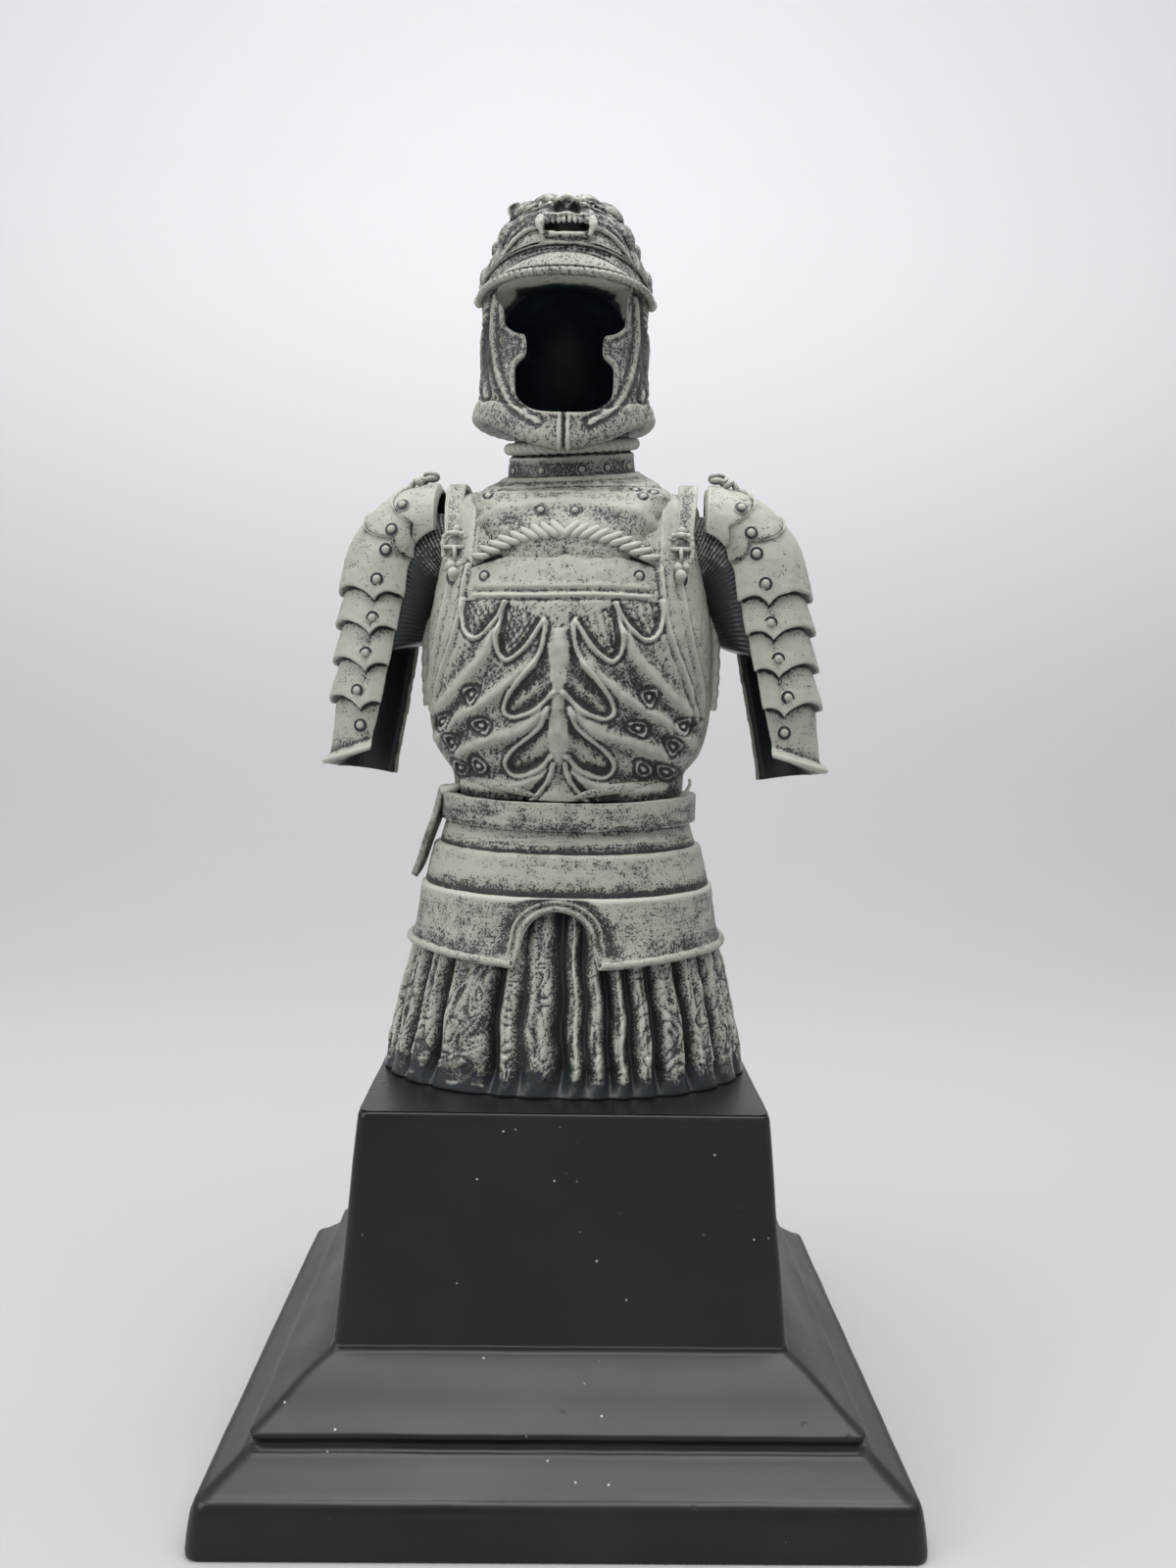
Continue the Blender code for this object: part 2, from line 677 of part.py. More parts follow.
def notch_rim():
    """The rolled edge round the arch in the lowest lame."""
    path = [on_breast(x, height, 0.5) for x, height in notch_outline(NOTCH_HALF_WIDTH / U + 0.6, 8)]
    foot = FAULD_RIM / U - FAULD_RIM_DIP / U
    path = [(x, min(y, front_of(CUIRASS, x, foot + 4) - 0.4), height) for x, y, height in path]
    return bead("notch_rim", path, 0.9, 5)


def side_flap():
    """The loose end of the belt that hangs over the right hip."""
    rings = []
    for x, y, height, wide in ((-29.6, -8, 68, 3), (-31.4, -8, 61, 2.8), (-34, -7, 54, 2.4), (-36.4, -6, 47, 1)):
        rings.append([place(x - out, y + across, height) for out, across in ((0, -wide), (1.3, -wide), (1.3, wide), (0, wide))])
    return loft("side_flap", rings)


def shoulder_knots():
    pieces = []
    for side in (-1, 1):
        for k in range(2):
            centre = (side * (SHOULDER_X + 4.4 + 3 * k), -1 + 0.6 * k, SHOULDER_HEIGHT + 23 - 1.3 * k)
            pieces.append(lump("knot", centre, (2.6, 1.7, 1.5), side * (0.5 * k - 0.1), 6, 3))
    return pieces


def helmet_hollow():
    """The empty space inside the helmet, behind the face opening."""
    return lump("helmet_hollow", (0, -1.5, 171.4), (16.4, 16.6, 18.2), 0.0, 12, 7, place_on_head)


def face_cutter():
    """A block with the outline of the face opening, from the front into the hollow."""
    half = list(FACE_OPENING)
    outline = half + [(-x, height) for x, height in reversed(half)]
    front = [place_on_head(x * 1.04, -40, 171 + (height - 171) * 1.04) for x, height in outline]
    back = [place_on_head(x * 0.95, -6, 171 + (height - 171) * 0.95) for x, height in outline]
    return loft("face_cutter", [front, back])


def cut_or_join(target, tool, operation):
    """Adds a Boolean to the target and keeps its tool out of the finished object."""
    step = target.modifiers.new(f"{operation.lower()} {tool.name}", "BOOLEAN")
    step.operation = operation
    # The exact solver drops the body where so many relief pieces overlap; every piece here is closed.
    step.solver = "MANIFOLD"
    if isinstance(tool, bpy.types.Collection):
        step.operand_type = "COLLECTION"
        step.collection = tool
        helpers = list(tool.objects)
    else:
        step.object = tool
        helpers = [tool]
    for helper in helpers:
        helper.hide_render = True
        helper.display_type = "WIRE"


def join_all(target, name, pieces):
    """Joins a named group of pieces to the target in one step."""
    group = bpy.data.collections.new(name)
    bpy.context.scene.collection.children.link(group)
    for piece in pieces:
        bpy.context.scene.collection.objects.unlink(piece)
        group.objects.link(piece)
    cut_or_join(target, group, "UNION")


def bust():
    """Everything above the plinth, joined into one casting."""
    body = cuirass()
    cut_or_join(body, prism("notch_cutter", notch_outline(NOTCH_HALF_WIDTH / U), -45, -23), "DIFFERENCE")
    join_all(body, "skirt and head", [skirt(), gorget(), helmet(), brim()])
    join_all(body, "sleeves", [sleeve(-1), sleeve(1)])
    join_all(body, "arms", [arm_guard(-1), arm_guard(1)])
    join_all(body, "mask", beast_mask())
    join_all(body, "straps and edges", strap(-1) + strap(1) + [notch_rim(), side_flap()])
    join_all(body, "relief", embossing() + rope_swag())
    join_all(body, "rivets", rivets() + shoulder_knots())
    cut_or_join(body, helmet_hollow(), "DIFFERENCE")
    cut_or_join(body, face_cutter(), "DIFFERENCE")
    return body


def main():
    for old in list(bpy.data.objects):
        bpy.data.objects.remove(old)
    stand = plinth()
    stand.data.materials.append(material("black_paint", BLACK, 0.42, 0.0))
    figure = bust()
    figure.data.materials.append(material("antique_silver", METAL, 0.55, 0.1))


main()
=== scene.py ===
"""Looks of the armoured bust: its fine carving, its paint and a plain light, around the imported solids."""

import math

import bmesh
import bpy
import numpy as np
from mathutils import Matrix, Vector


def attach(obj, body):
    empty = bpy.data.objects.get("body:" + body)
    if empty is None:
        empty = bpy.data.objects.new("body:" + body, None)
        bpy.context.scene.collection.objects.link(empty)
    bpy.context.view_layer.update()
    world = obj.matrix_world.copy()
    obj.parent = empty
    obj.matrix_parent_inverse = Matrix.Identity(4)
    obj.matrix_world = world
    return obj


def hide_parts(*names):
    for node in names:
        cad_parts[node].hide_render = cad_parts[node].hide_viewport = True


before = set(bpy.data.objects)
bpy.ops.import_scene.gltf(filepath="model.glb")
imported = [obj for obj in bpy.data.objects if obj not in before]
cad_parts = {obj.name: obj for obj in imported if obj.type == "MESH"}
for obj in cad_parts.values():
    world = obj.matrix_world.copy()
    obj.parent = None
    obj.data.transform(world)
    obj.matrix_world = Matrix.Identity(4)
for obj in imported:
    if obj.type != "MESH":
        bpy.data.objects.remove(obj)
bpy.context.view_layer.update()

MM = 0.001
FOOT = 83.0
FIGURE_TURN = math.radians(-4.5)
HELMET_SHIFT = -2.7
NECK_SHIFT = -0.6

# Profile tables in figure units (mm): height, half width, front depth, back depth
SKIRT = (
    (0, 43.8, 34.6, 34),
    (14, 41.1, 32.5, 32),
    (30, 37.2, 29.6, 29),
    (44, 33, 26.5, 26),
)
CUIRASS = (
    (66.4, 28.0, 23.4, 22.6),
    (71.5, 28.2, 24, 23),
    (77.3, 32, 26.6, 25),
    (84, 34, 28.8, 26),
    (93, 34.8, 30.4, 27),
    (104, 34.7, 30.8, 27.4),
    (116, 33.2, 28.9, 26.4),
    (125, 31.8, 25.6, 24.8),
    (132, 31.1, 21.8, 22),
    (136.6, 30.6, 17.2, 18.2),
    (139.6, 27.6, 11.4, 12.4),
)
GORGET = (
    (121, 19.6, 27, 24),
    (128, 21.8, 26, 23.4),
    (134, 23.8, 23, 21),
    (138.4, 24.6, 19.6, 18.6),
    (140.6, 23.4, 17.4, 17),
    (144.4, 17, 15.4, 15.4),
    (144.8, 15.6, 14.2, 14.2),
    (149, 15.1, 13.7, 13.7),
    (150.2, 14.4, 13, 13),
    (158, 13.4, 12.4, 12.4),
)
HELMET = (
    (163.4, 20.8, 22.4, 24.4),
    (170, 20, 21.4, 24),
    (178, 20, 21, 24),
    (186, 20.2, 21.2, 24.2),
    (191, 19.8, 21.2, 24.2),
    (196, 17.6, 20.4, 23.2),
    (200.6, 15.2, 18.4, 21.2),
    (204.4, 12.2, 15, 17.4),
    (207, 8.6, 10, 11.6),
    (208.2, 3.4, 4, 5),
)
# (angle in degrees from the front towards +X, share of the depth) of each valley between two pleats
PLEATS = (
    (-165, 1), (-147, 1), (-130, 1), (-114, 1), (-98, 1), (-83, 1), (-68, 1), (-54, 0.8), (-40.4, 1),
    (-17.9, 1.3), (-9.2, 0.5), (1.5, 1.3), (8.2, 0.7), (15.5, 1.2), (22.8, 0.8), (31.8, 1), (45.3, 1),
    (60, 1), (75, 1), (91, 1), (107, 1), (124, 1), (141, 1), (158, 1), (176, 1),
)
FACE_OPENING = (
    (14.9, 186.3),
    (14.8, 180.6),
    (14.2, 176.8),
    (11.8, 174.5),
    (9.7, 173.7),
    (9.1, 172.4),
    (9.2, 169.2),
    (11.4, 167.3),
    (11.8, 164.8),
    (11.4, 160),
    (8.8, 157),
    (4.8, 155.5),
)


def turned(points):
    """Figure units to metres, turned with the figure."""
    c, s = math.cos(FIGURE_TURN), math.sin(FIGURE_TURN)
    x, y, h = points[..., 0], points[..., 1], points[..., 2]
    return np.stack((c * x - s * y, s * x + c * y, h + FOOT), -1) * MM


def on_head(points):
    """Units from the helmet's own axis to metres; the head looks straight ahead."""
    return (points + np.array((HELMET_SHIFT, 0, FOOT))) * MM


def profile(table, heights):
    """Smooth monotone curves through the rows of a profile table."""
    rows = np.array(table, float)
    h, v = rows[:, 0], rows[:, 1:]
    slope = np.diff(v, axis=0) / np.diff(h)[:, None]
    tangent = np.zeros_like(v)
    both = slope[:-1] * slope[1:]
    total = slope[:-1] + slope[1:]
    tangent[1:-1] = np.where(both > 0, 2 * both / np.where(total == 0, 1, total), 0)
    tangent[0], tangent[-1] = slope[0], slope[-1]
    heights = np.clip(heights, h[0], h[-1])
    i = np.clip(np.searchsorted(h, heights, side="right") - 1, 0, len(h) - 2)
    span = h[i + 1] - h[i]
    t = ((heights - h[i]) / span)[..., None]
    span = span[..., None]
    a = (1 + 2 * t) * (1 - t) ** 2 * v[i] + t * (1 - t) ** 2 * span * tangent[i]
    return a + t * t * (3 - 2 * t) * v[i + 1] + t * t * (t - 1) * span * tangent[i + 1]


def ovals(angles, sizes, squareness=2.3, lift=0.0):
    """Points (x, y) of ovals seen from above; angle 0 is the front and a quarter turn is +X."""
    s, c = np.sin(angles), np.cos(angles)
    across = np.sign(s) * np.abs(s) ** (2 / squareness)
    along = np.sign(c) * np.abs(c) ** (2 / squareness)
    half, front, back = sizes[..., 0], sizes[..., 1], sizes[..., 2]
    return (half + lift) * across, -(np.where(along > 0, front, back) + lift) * along


def bunched(count, strength=0.28):
    """Angles round the body, set closer together towards the front."""
    t = np.linspace(-1, 1, count, endpoint=False)
    return math.pi * t * (1 - strength + strength * np.abs(t))


def normals_of(grid, closed=True):
    if closed:
        across = np.roll(grid, -1, 1) - np.roll(grid, 1, 1)
    else:
        across = np.gradient(grid, axis=1)
    n = np.cross(across, np.gradient(grid, axis=0))
    return n / (np.linalg.norm(n, axis=-1, keepdims=True) + 1e-12)


def raised(grid, height, closed=True):
    """The grid moved along its own normals by a height in figure units."""
    return grid + normals_of(grid, closed) * height[..., None]


def quads(rows, columns, closed=True, ring=False):
    """Faces of a grid; closed joins its last column to its first, ring its last row to its first."""
    i = np.arange(rows if ring else rows - 1)[:, None]
    j = np.arange(columns if closed else columns - 1)[None, :]
    i, j = np.broadcast_arrays(i, j)
    up, over = (i + 1) % rows, (j + 1) % columns
    faces = np.stack((i * columns + j, i * columns + over, up * columns + over, up * columns + j), -1)
    return faces.reshape(-1, 4)


def hollows(points, faces, normals, passes):
    """How deep each point lies under the surface smoothed around it."""
    a, b = faces.ravel(), np.roll(faces, -1, axis=1).ravel()
    ends, others = np.concatenate((a, b)), np.concatenate((b, a))
    count = np.maximum(np.bincount(ends, minlength=len(points)), 1)[:, None]
    level = points.copy()
    for _ in range(passes):
        total = [np.bincount(ends, level[others, k], minlength=len(points)) for k in range(3)]
        level = 0.5 * level + 0.5 * np.stack(total, -1) / count
    return ((level - points) * normals).sum(-1)


def facing_out(points, faces):
    """The faces, turned round where they look inwards."""
    p = points - points.mean(0)
    a, b, c, d = (p[faces[:, k]] for k in range(4))
    volume = (a * np.cross(b, c)).sum() + (a * np.cross(c, d)).sum()
    return faces if volume > 0 else faces[:, (1, 0, 3, 2)]


def write_marks(mesh, **marks):
    for name, values in marks.items():
        layer = mesh.attributes.get(name) or mesh.attributes.new(name, "FLOAT", "POINT")
        layer.data.foreach_set("value", np.ascontiguousarray(values, np.float32))


def values_of(items, name, width=3, kind=float):
    """One value of all items of a mesh, as rows of numbers."""
    values = np.empty(len(items) * width, kind)
    items.foreach_get(name, values)
    return values.reshape(-1, width)


def settle(made, passes=14, depth=0.22, replaces="bust", slot="antique_silver"):
    """Marks the piece's hollows for the wash and ties the piece to the frame."""
    mesh = made.data
    points = values_of(mesh.vertices, "co")
    normals = values_of(mesh.vertex_normals, "vector", kind=np.float32)
    edges = values_of(mesh.edges, "vertices", 2, np.int32)
    found = hollows(points, edges, normals, passes)
    write_marks(mesh, hollow=np.clip(found / (depth * MM), -1.5, 1.5))
    for name in ("tone", "black"):
        if name not in mesh.attributes:
            write_marks(mesh, **{name: np.zeros(len(points))})
    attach(made, "root")
    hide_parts(replaces)
    return made


def piece(name, points, faces, paint, marks, **settings):
    """An object from points in metres and faces of four corners; a repeated corner makes a triangle."""
    three = faces[:, 2] == faces[:, 3]
    loops = np.concatenate((faces[~three].ravel(), faces[three][:, :3].ravel()))
    sizes = np.concatenate((np.full((~three).sum(), 4), np.full(three.sum(), 3)))
    starts = np.concatenate(((0,), np.cumsum(sizes)[:-1]))
    mesh = bpy.data.meshes.new(name)
    mesh.vertices.add(len(points))
    mesh.vertices.foreach_set("co", np.ascontiguousarray(points, np.float32).ravel())
    mesh.loops.add(len(loops))
    mesh.loops.foreach_set("vertex_index", loops.astype(np.int32))
    mesh.polygons.add(len(sizes))
    mesh.polygons.foreach_set("loop_start", starts.astype(np.int32))
    mesh.update(calc_edges=True)
    mesh.validate()
    mesh.shade_smooth()
    mesh.materials.append(paint)
    write_marks(mesh, **marks)
    made = bpy.data.objects.new(name, mesh)
    bpy.context.scene.collection.objects.link(made)
    return settle(made, **settings)


def sheet(name, grid, faces, paint, tone, **settings):
    """A piece from a grid in figure units that is left open or closes on itself."""
    points = turned(grid).reshape(-1, 3)
    return piece(name, points, facing_out(points, faces), paint, {"tone": tone.ravel()}, **settings)


def body_grid(table, heights, angles, squareness=2.3):
    """X, Y, height and the whole grid of points round the body, from a profile table."""
    x, y = ovals(angles[None, :], profile(table, heights)[:, None, :], squareness)
    h = np.broadcast_to(heights[:, None], x.shape)
    return x, y, h, np.stack((x, y, h), -1)


def flowing(points, steps=6):
    """A smooth line through the points."""
    p = np.array(points, float)
    p = np.vstack((2 * p[0] - p[1], p, 2 * p[-1] - p[-2]))
    out = []
    for a, b, c, d in zip(p, p[1:], p[2:], p[3:]):
        for t in np.linspace(0, 1, steps, endpoint=False):
            bend = (2 * a - 5 * b + 4 * c - d) * t**2
            out.append(0.5 * (2 * b + (c - a) * t + bend + (3 * b - a - 3 * c + d) * t**3))
    out.append(p[-2])
    return np.array(out)


def distance(x, h, line, reach=5.0):
    """Distance of each point of a surface to a line, in figure units."""
    line = np.asarray(line, float)
    found = np.full(x.shape, 99.0)
    low, high = line.min(0) - reach, line.max(0) + reach
    near = (x > low[0]) & (x < high[0]) & (h > low[1]) & (h < high[1])
    px, ph = x[near], h[near]
    best = np.full(px.shape, 99.0**2)
    for (x0, h0), (x1, h1) in zip(line, line[1:]):
        dx, dh = x1 - x0, h1 - h0
        t = np.clip(((px - x0) * dx + (ph - h0) * dh) / (dx * dx + dh * dh + 1e-12), 0, 1)
        best = np.minimum(best, (px - x0 - t * dx) ** 2 + (ph - h0 - t * dh) ** 2)
    found[near] = np.sqrt(best)
    return found


def inside(x, h, line):
    """Whether each point lies inside the closed line."""
    line = np.asarray(line, float)
    found = np.zeros(x.shape, bool)
    for (x0, h0), (x1, h1) in zip(line, np.roll(line, -1, axis=0)):
        crosses = (h0 > h) != (h1 > h)
        at = x0 + (h - h0) * (x1 - x0) / (h1 - h0 + 1e-12)
        found ^= crosses & (x < at)
    return found


def bump(distances, width, height=1.0):
    """A soft hump of a height, or a falling share of it, at distances from its middle."""
    return height * np.exp(-((distances / width) ** 2))


def waves(points, size, seed, octaves=3):
    """Soft repeatable roughness from sums of turned sine waves, about -1 to 1."""
    rng = np.random.default_rng(seed)
    total = np.zeros(points.shape[:-1])
    for octave in range(octaves):
        for _ in range(5):
            way = rng.normal(size=3)
            way *= 2 * math.pi / size * 1.9**octave / np.linalg.norm(way)
            total += np.sin(points @ way + rng.uniform(0, 6.28)) / 5 / 1.5**octave
    return total


def tube(path, radii, sides=14, along=None, flat=1.0, shape=None):
    """Grid of a tube along a path in figure units; shape gives a share of the radius at (row, turn)."""
    path = np.array(path, float)
    ahead = np.gradient(path, axis=0)
    ahead /= np.linalg.norm(ahead, axis=1, keepdims=True) + 1e-12
    up = np.array(along if along is not None else (0, -1, 0.001), float)
    side = np.cross(ahead, up)
    side /= np.linalg.norm(side, axis=1, keepdims=True) + 1e-12
    out = np.cross(side, ahead)
    turn = np.linspace(0, 2 * math.pi, sides, endpoint=False)
    radii = np.broadcast_to(np.asarray(radii, float), (len(path),))
    r = radii[:, None] * (shape(np.arange(len(path))[:, None], turn[None, :]) if shape is not None else 1.0)
    r = np.broadcast_to(r, (len(path), sides))
    grid = path[:, None, :] + (np.cos(turn)[None, :, None] * side[:, None, :]) * r[..., None]
    return grid + (np.sin(turn)[None, :, None] * out[:, None, :]) * (r * flat)[..., None]


def add_grid(store, grid, put=turned, tone=0.0, black=0.0, tips=(None, None)):
    """Adds a grid to a piece's shapes, its ends closed with fans; tips are the marks in their middles."""
    rows, columns, _ = grid.shape
    points = put(grid).reshape(-1, 3)
    points = np.vstack((points, put(np.stack((grid[0].mean(0), grid[-1].mean(0))))))
    j = np.arange(columns)
    k = (j + 1) % columns
    low = rows * columns
    last = low - columns
    faces = [quads(rows, columns)]
    for one, other, tip in ((k, j, low), (last + j, last + k, low + 1)):
        faces.append(np.stack((one, other, np.full(columns, tip), np.full(columns, tip)), -1))
    store["points"].append(points)
    store["faces"].append(facing_out(points, np.vstack(faces)) + store["count"])
    for mark, values, tip in (("tone", tone, tips[0]), ("black", black, tips[1])):
        values = np.broadcast_to(np.asarray(values, float), (rows, columns)).ravel()
        store[mark].append(np.append(values, np.full(2, values[-1] if tip is None else tip)))
    store["count"] += len(points)


def gathered():
    return {"points": [], "faces": [], "tone": [], "black": [], "count": 0}


def gathered_piece(name, store, paint, **settings):
    """One object from the gathered shapes."""
    marks = {mark: np.concatenate(store[mark]) for mark in ("tone", "black")}
    return piece(name, np.vstack(store["points"]), np.vstack(store["faces"]), paint, marks, **settings)


def grid_piece(name, grid, paint, put=turned, tone=0.0, black=0.0, tips=(None, None), **settings):
    """One object from a single grid."""
    store = gathered()
    add_grid(store, grid, put, tone, black, tips)
    return gathered_piece(name, store, paint, **settings)


def applied(made):
    """The piece's mesh with its steps applied, put in place of its old one."""
    bpy.context.view_layer.update()
    graph = bpy.context.evaluated_depsgraph_get()
    mesh = bpy.data.meshes.new_from_object(made.evaluated_get(graph), depsgraph=graph)
    made.modifiers.clear()
    made.data = mesh
    return mesh


def ball(centre, size, turn=0.0, segments=16, rings=10, lean=0.0):
    """Grid of an ellipsoid in figure units, turned in the front view and leaning forwards."""
    level = np.linspace(0.02, math.pi - 0.02, rings)[:, None]
    around = np.linspace(0, 2 * math.pi, segments, endpoint=False)[None, :]
    out, up = np.sin(level), -np.cos(level) + 0 * around
    grid = np.stack((out * np.cos(around), out * np.sin(around), up), -1)
    grid = grid * np.array(size, float)
    spin = np.array(Matrix.Rotation(turn, 3, "Y") @ Matrix.Rotation(lean, 3, "X"))
    return grid @ spin.T + np.array(centre, float)


# Paints


def paint_tree(name):
    made = bpy.data.materials.new(name)
    made.use_nodes = True
    return made, made.node_tree, made.node_tree.nodes["Principled BSDF"]


def add_node(tree, kind, settings=None, **inputs):
    made = tree.nodes.new(kind)
    for key, value in (settings or {}).items():
        setattr(made, key, value)
    for key, value in inputs.items():
        socket = made.inputs[int(key[1:])] if key[0] == "_" else made.inputs[key.replace("_", " ")]
        if isinstance(value, bpy.types.NodeSocket):
            tree.links.new(value, socket)
        else:
            socket.default_value = value
    return made


def calculated(tree, operation, *values):
    """The result of one calculation with sockets or numbers."""
    inputs = {"_%d" % k: value for k, value in enumerate(values)}
    return add_node(tree, "ShaderNodeMath", {"operation": operation}, **inputs).outputs[0]


def sums(tree, *terms):
    """Adds up (socket, factor, offset) terms."""
    total = None
    for socket, factor, offset in terms:
        part = calculated(tree, "MULTIPLY_ADD", socket, factor, offset)
        total = part if total is None else calculated(tree, "ADD", total, part)
    return total


def noise(tree, place, scale, detail=3.0, roughness=0.6, stretch=(1, 1, 1)):
    where = add_node(tree, "ShaderNodeMapping", None, Vector=place, Scale=stretch).outputs[0]
    made = add_node(tree, "ShaderNodeTexNoise", None, Vector=where, Scale=scale, Detail=detail,
        Roughness=roughness)
    return made.outputs[0]


def ramp(tree, value, low, high):
    return add_node(tree, "ShaderNodeMapRange", {"interpolation_type": "SMOOTHSTEP"}, Value=value,
        From_Min=low, From_Max=high).outputs[0]


def blended(tree, share, one, other):
    made = tree.nodes.new("ShaderNodeMix")
    made.data_type = "RGBA"
    for socket, value in ((made.inputs[0], share), (made.inputs[6], one), (made.inputs[7], other)):
        if isinstance(value, bpy.types.NodeSocket):
            tree.links.new(value, socket)
        else:
            socket.default_value = value
    return made.outputs[2]


LIGHT = (0.34, 0.343, 0.292, 1)
PALE = (0.46, 0.465, 0.41, 1)
GREY = (0.115, 0.118, 0.108, 1)
WASH = (0.017, 0.018, 0.0185, 1)
BLACK = (0.021, 0.027, 0.031, 1)


def antique(name, streaks=0.25, specks=1.0, stain=0.0):
    """Antique silver paint with a black wash that stays in the hollows, specks and brushed streaks."""
    made, tree, shader = paint_tree(name)
    place = add_node(tree, "ShaderNodeTexCoord").outputs["Object"]
    marks = {}
    for mark in ("hollow", "tone", "black"):
        marks[mark] = add_node(tree, "ShaderNodeAttribute", {"attribute_name": mark}).outputs["Fac"]
    fine = noise(tree, place, 1900, 3, 0.7)
    medium = noise(tree, place, 430, 3, 0.6)
    broad = noise(tree, place, 85, 3, 0.6)
    brushed = noise(tree, place, 1100, 2, 0.5, (0.09, 0.09, 1.7))
    # Darkening from the wash in the hollows, the tone mark and noise; the tone mark also carries painted
    # shade at the belly band joins and the peak's top edge.
    wash_and_shade = sums(
        tree,
        (marks["hollow"], 0.75, stain),
        (marks["tone"], 0.62, 0),
        (broad, 1.5, -0.75),
        (medium, 1.1, -0.55),
        (brushed, 2.6 * streaks, -1.3 * streaks),
    )
    soft = ramp(tree, wash_and_shade, 0.0, 1.3)
    spotted = sums(
        tree,
        (fine, 5.2 * specks, -2.6 * specks - 0.72),
        (medium, 1.2, -0.6),
        (broad, 1.1, -0.55),
        (brushed, 2.8 * streaks, -1.4 * streaks),
        (marks["tone"], 0.72, stain),
        (marks["hollow"], 0.75, 0),
    )
    spots = ramp(tree, spotted, -0.17, 0.27)
    edge = ramp(tree, sums(tree, (marks["hollow"], -1, 0), (medium, 0.5, -0.25)), 0.25, 1.2)
    colour = blended(tree, soft, LIGHT, GREY)
    colour = blended(tree, spots, colour, WASH)
    pale = calculated(tree, "MULTIPLY", edge, 0.7)
    colour = blended(tree, pale, colour, PALE)
    deep = ramp(tree, marks["hollow"], 0.85, 1.45)
    colour = blended(tree, deep, colour, WASH)
    covered = ramp(tree, sums(tree, (marks["black"], 1.6, 0), (medium, 1.0, -0.8)), 0.3, 0.8)
    colour = blended(tree, covered, colour, BLACK)
    tree.links.new(colour, shader.inputs["Base Color"])
    gloss = add_node(tree, "ShaderNodeMapRange", None, Value=covered, To_Min=0.52, To_Max=0.3).outputs[0]
    tree.links.new(gloss, shader.inputs["Roughness"])
    shader.inputs["Metallic"].default_value = 0.0
    shader.inputs["Specular IOR Level"].default_value = 0.45
    grain = sums(tree, (fine, 0.6, 0), (brushed, 0.9 * streaks, 0), (medium, 0.4, 0))
    rough = add_node(tree, "ShaderNodeBump", None, Strength=0.4, Distance=0.0003, Height=grain)
    tree.links.new(rough.outputs[0], shader.inputs["Normal"])
    return made


def plinth_paint():
    """Satin black paint with casting pits and pale dust."""
    made, tree, shader = paint_tree("satin_black")
    place = add_node(tree, "ShaderNodeTexCoord").outputs["Object"]
    broad = noise(tree, place, 26, 4, 0.6)
    fine = noise(tree, place, 900, 2, 0.5)
    cells = add_node(tree, "ShaderNodeTexVoronoi", None, Vector=place, Scale=230.0, Randomness=1.0)
    dust = ramp(tree, cells.outputs["Distance"], 0.075, 0.045)
    kept = ramp(tree, noise(tree, place, 55, 2, 0.5), 0.5, 0.62)
    dust = calculated(tree, "MULTIPLY", dust, kept)
    colour = blended(tree, ramp(tree, broad, 0.35, 0.7), (0.0036, 0.0045, 0.006, 1),
        (0.0068, 0.008, 0.0102, 1))
    colour = blended(tree, dust, colour, (0.35, 0.36, 0.36, 1))
    tree.links.new(colour, shader.inputs["Base Color"])
    shader.inputs["Specular IOR Level"].default_value = 0.4
    gloss = add_node(tree, "ShaderNodeMapRange", None, Value=broad, From_Min=0.3, From_Max=0.7, To_Min=0.3,
        To_Max=0.42)
    tree.links.new(gloss.outputs[0], shader.inputs["Roughness"])
    pits = add_node(tree, "ShaderNodeTexVoronoi", None, Vector=place, Scale=95.0, Randomness=1.0)
    pit = ramp(tree, pits.outputs["Distance"], 0.02, 0.1)
    height = sums(tree, (pit, 0.6, 0), (fine, 0.08, 0), (broad, 0.6, 0))
    rough = add_node(tree, "ShaderNodeBump", None, Strength=0.5, Distance=0.0004, Height=height)
    tree.links.new(rough.outputs[0], shader.inputs["Normal"])
    return made


def inside_paint():
    """Black paint inside the helmet, with faint grey smears."""
    made, tree, shader = paint_tree("inside_black")
    place = add_node(tree, "ShaderNodeTexCoord").outputs["Object"]
    smear = noise(tree, place, 160, 4, 0.65, (1, 1, 0.5))
    colour = blended(tree, ramp(tree, smear, 0.45, 0.75), (0.012, 0.021, 0.034, 1), (0.026, 0.038, 0.056, 1))
    tree.links.new(colour, shader.inputs["Base Color"])
    shader.inputs["Roughness"].default_value = 0.42
    shader.inputs["Specular IOR Level"].default_value = 0.2
    rough = add_node(tree, "ShaderNodeBump", None, Strength=0.4, Distance=0.0005, Height=smear)
    tree.links.new(rough.outputs[0], shader.inputs["Normal"])
    return made


PLATE = antique("plate_silver")
BRUSHED = antique("brushed_silver", streaks=0.55, specks=0.9)
CARVED = antique("carved_silver", streaks=0.1, specks=1.15, stain=0.06)
CLOTH = antique("cloth_silver", streaks=0.0, specks=1.3, stain=0.3)
MAIL = antique("mail_silver", streaks=0.0, specks=0.6, stain=0.25)
STAND = plinth_paint()
INSIDE = inside_paint()


# Plinth


def corner_point(half, radius, corner, angle):
    """A point on a rounded corner of the square, at an angle from +X."""
    cx = cy = half - radius
    for _ in range(corner):
        cx, cy = -cy, cx
    return cx + radius * math.cos(angle), cy + radius * math.sin(angle)


